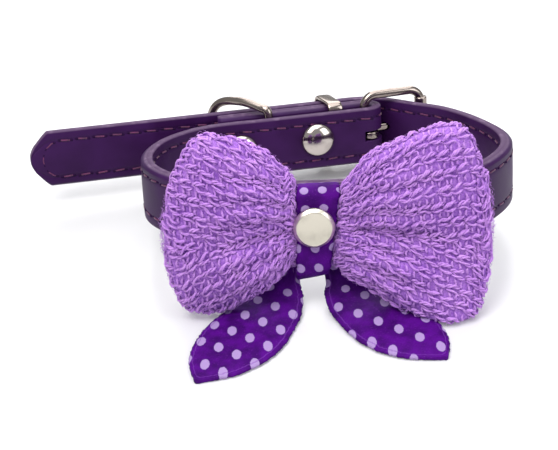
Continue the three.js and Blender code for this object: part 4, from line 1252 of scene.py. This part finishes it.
def bandGrid():
    # The band's outline in (y, z) is a rounded rectangle; its edges lean and draw in towards the foot.
    foot, tall = bow["bandFoot"], bow["bandTop"] - bow["bandFoot"]
    halfDeep = (bandBack - bandFront) / 2
    corner = halfDeep * 0.9
    centre = ((bandBack + bandFront) / 2, foot + tall / 2)
    centres, ways = boxCorners(centre, (halfDeep, tall / 2), corner, 12)
    bends = centres + corner * ways
    loop, even = evenly(np.concatenate([bends, bends[:1]]), 240, closed=True)
    y, z = loop.T
    ahead = acrossRing(loop)
    out = unit(np.column_stack([ahead[:, 1], -ahead[:, 0]]))
    share, lift = flatOval(31, 12)
    height = (z - foot) / tall
    middle, wide = knotEdge(height, 0)[:, None], (knotEdge(height, 1) - knotEdge(height, -1))[:, None]
    ripple = band["wave"] * np.sin(2.1 * z)[:, None] * np.sign(share) * (np.abs(share) > 0.8)
    x = middle + wide / 2 * share + ripple
    drawn = np.where((out[:, 0] < -0.3)[:, None], -band["drawn"] * np.abs(share) ** 4, 0)
    radial = (lift - 1) * collar["bandThick"] / 2 + drawn
    slant = -band["slant"] * (x - middle) * (1 - height)[:, None]
    up = z[:, None] + out[:, 1:] * radial + slant + band["rise"] * smoothstep(0.8, 1, height)[:, None]
    # The dots' lattice: rows by height, but along the cloth where it goes over the upper edge.
    shift = np.interp(up, band["rows"][::-1], band["starts"][::-1])
    wraps = np.where(out[:, 0] > 0.3, 0.5, 0.0)[:, None]
    rowAt = band["rows"][1]
    facing = out[:, 0] < -0.9
    overTop = (np.interp(-rowAt, -z[facing], even[facing]) - even)[:, None]
    rowHeight = np.where(overTop > 0, overTop / band["topStep"], (up - rowAt) / band["steps"][1])
    lattice = np.stack([(x - shift) / band["steps"][0] + wraps, rowHeight], axis=-1)
    return placed(np.stack([x, y[:, None] + out[:, :1] * radial, up], axis=-1)), lattice


bandPoints, bandLattice = bandGrid()
bandFinish = satinFinish("dottedBand", (band["steps"][0], 0.0), (0.0, band["steps"][1]), *band["dots"], None)
bandPiece = ringed("knotBand", bandPoints, bandLattice)
fixed(bandPiece, "collar", bandFinish, ["knot_band"])


# Floor, light
print("stage")
stage = {
    "size": 6.0, "floor": (204, 204, 206), "glow": 0.14,  # the floor is a pale sheet lit from below too
    "sky": (0.93, 0.94, 0.96, 1), "skyStrength": 0.44,
    "lamps": [
        # name, place in metres, size, watts, colour
        ("key", (-0.3, -0.35, 0.75), 0.5, 4.9, (1.0, 0.99, 0.97)),
        ("top", (0.02, 0.04, 0.7), 0.7, 3.6, (1.0, 1.0, 1.0)),
        ("fill", (0.75, -0.35, 0.5), 0.6, 3.6, (0.96, 0.98, 1.0)),
        ("back", (0.1, 0.8, 0.6), 0.7, 5.2, (1.0, 1.0, 1.0)),
    ],
}
sheetCorners = np.array([(-1, -1, 0), (1, -1, 0), (1, 1, 0), (-1, 1, 0)]) * stage["size"] / 2
floor = newMesh("floor", sheetCorners, [np.arange(4)[None, :]])
floorFinish = Finish("paleFloor")
floorFinish.set(Base_Color=colourOf(stage["floor"]), Roughness=0.28, Specular_IOR_Level=0.26)
floorFinish.set(Emission_Color=(1.0, 1.0, 1.0, 1.0), Emission_Strength=stage["glow"])
floor.data.materials.append(floorFinish.material)
for name, place, size, power, tint in stage["lamps"]:
    lampData = bpy.data.lights.new(name, "AREA")
    lampData.energy, lampData.size, lampData.color = power, size, tint
    lamp = bpy.data.objects.new(name, lampData)
    lamp.location = place
    lamp.rotation_euler = Vector(place).to_track_quat("Z", "Y").to_euler()
    bpy.context.scene.collection.objects.link(lamp)
world = bpy.data.worlds.new("studio")
bpy.context.scene.world = world
world.use_nodes = True
background = world.node_tree.nodes["Background"]
background.inputs["Color"].default_value = stage["sky"]
background.inputs["Strength"].default_value = stage["skyStrength"]
bpy.context.scene.view_settings.view_transform = "Standard"
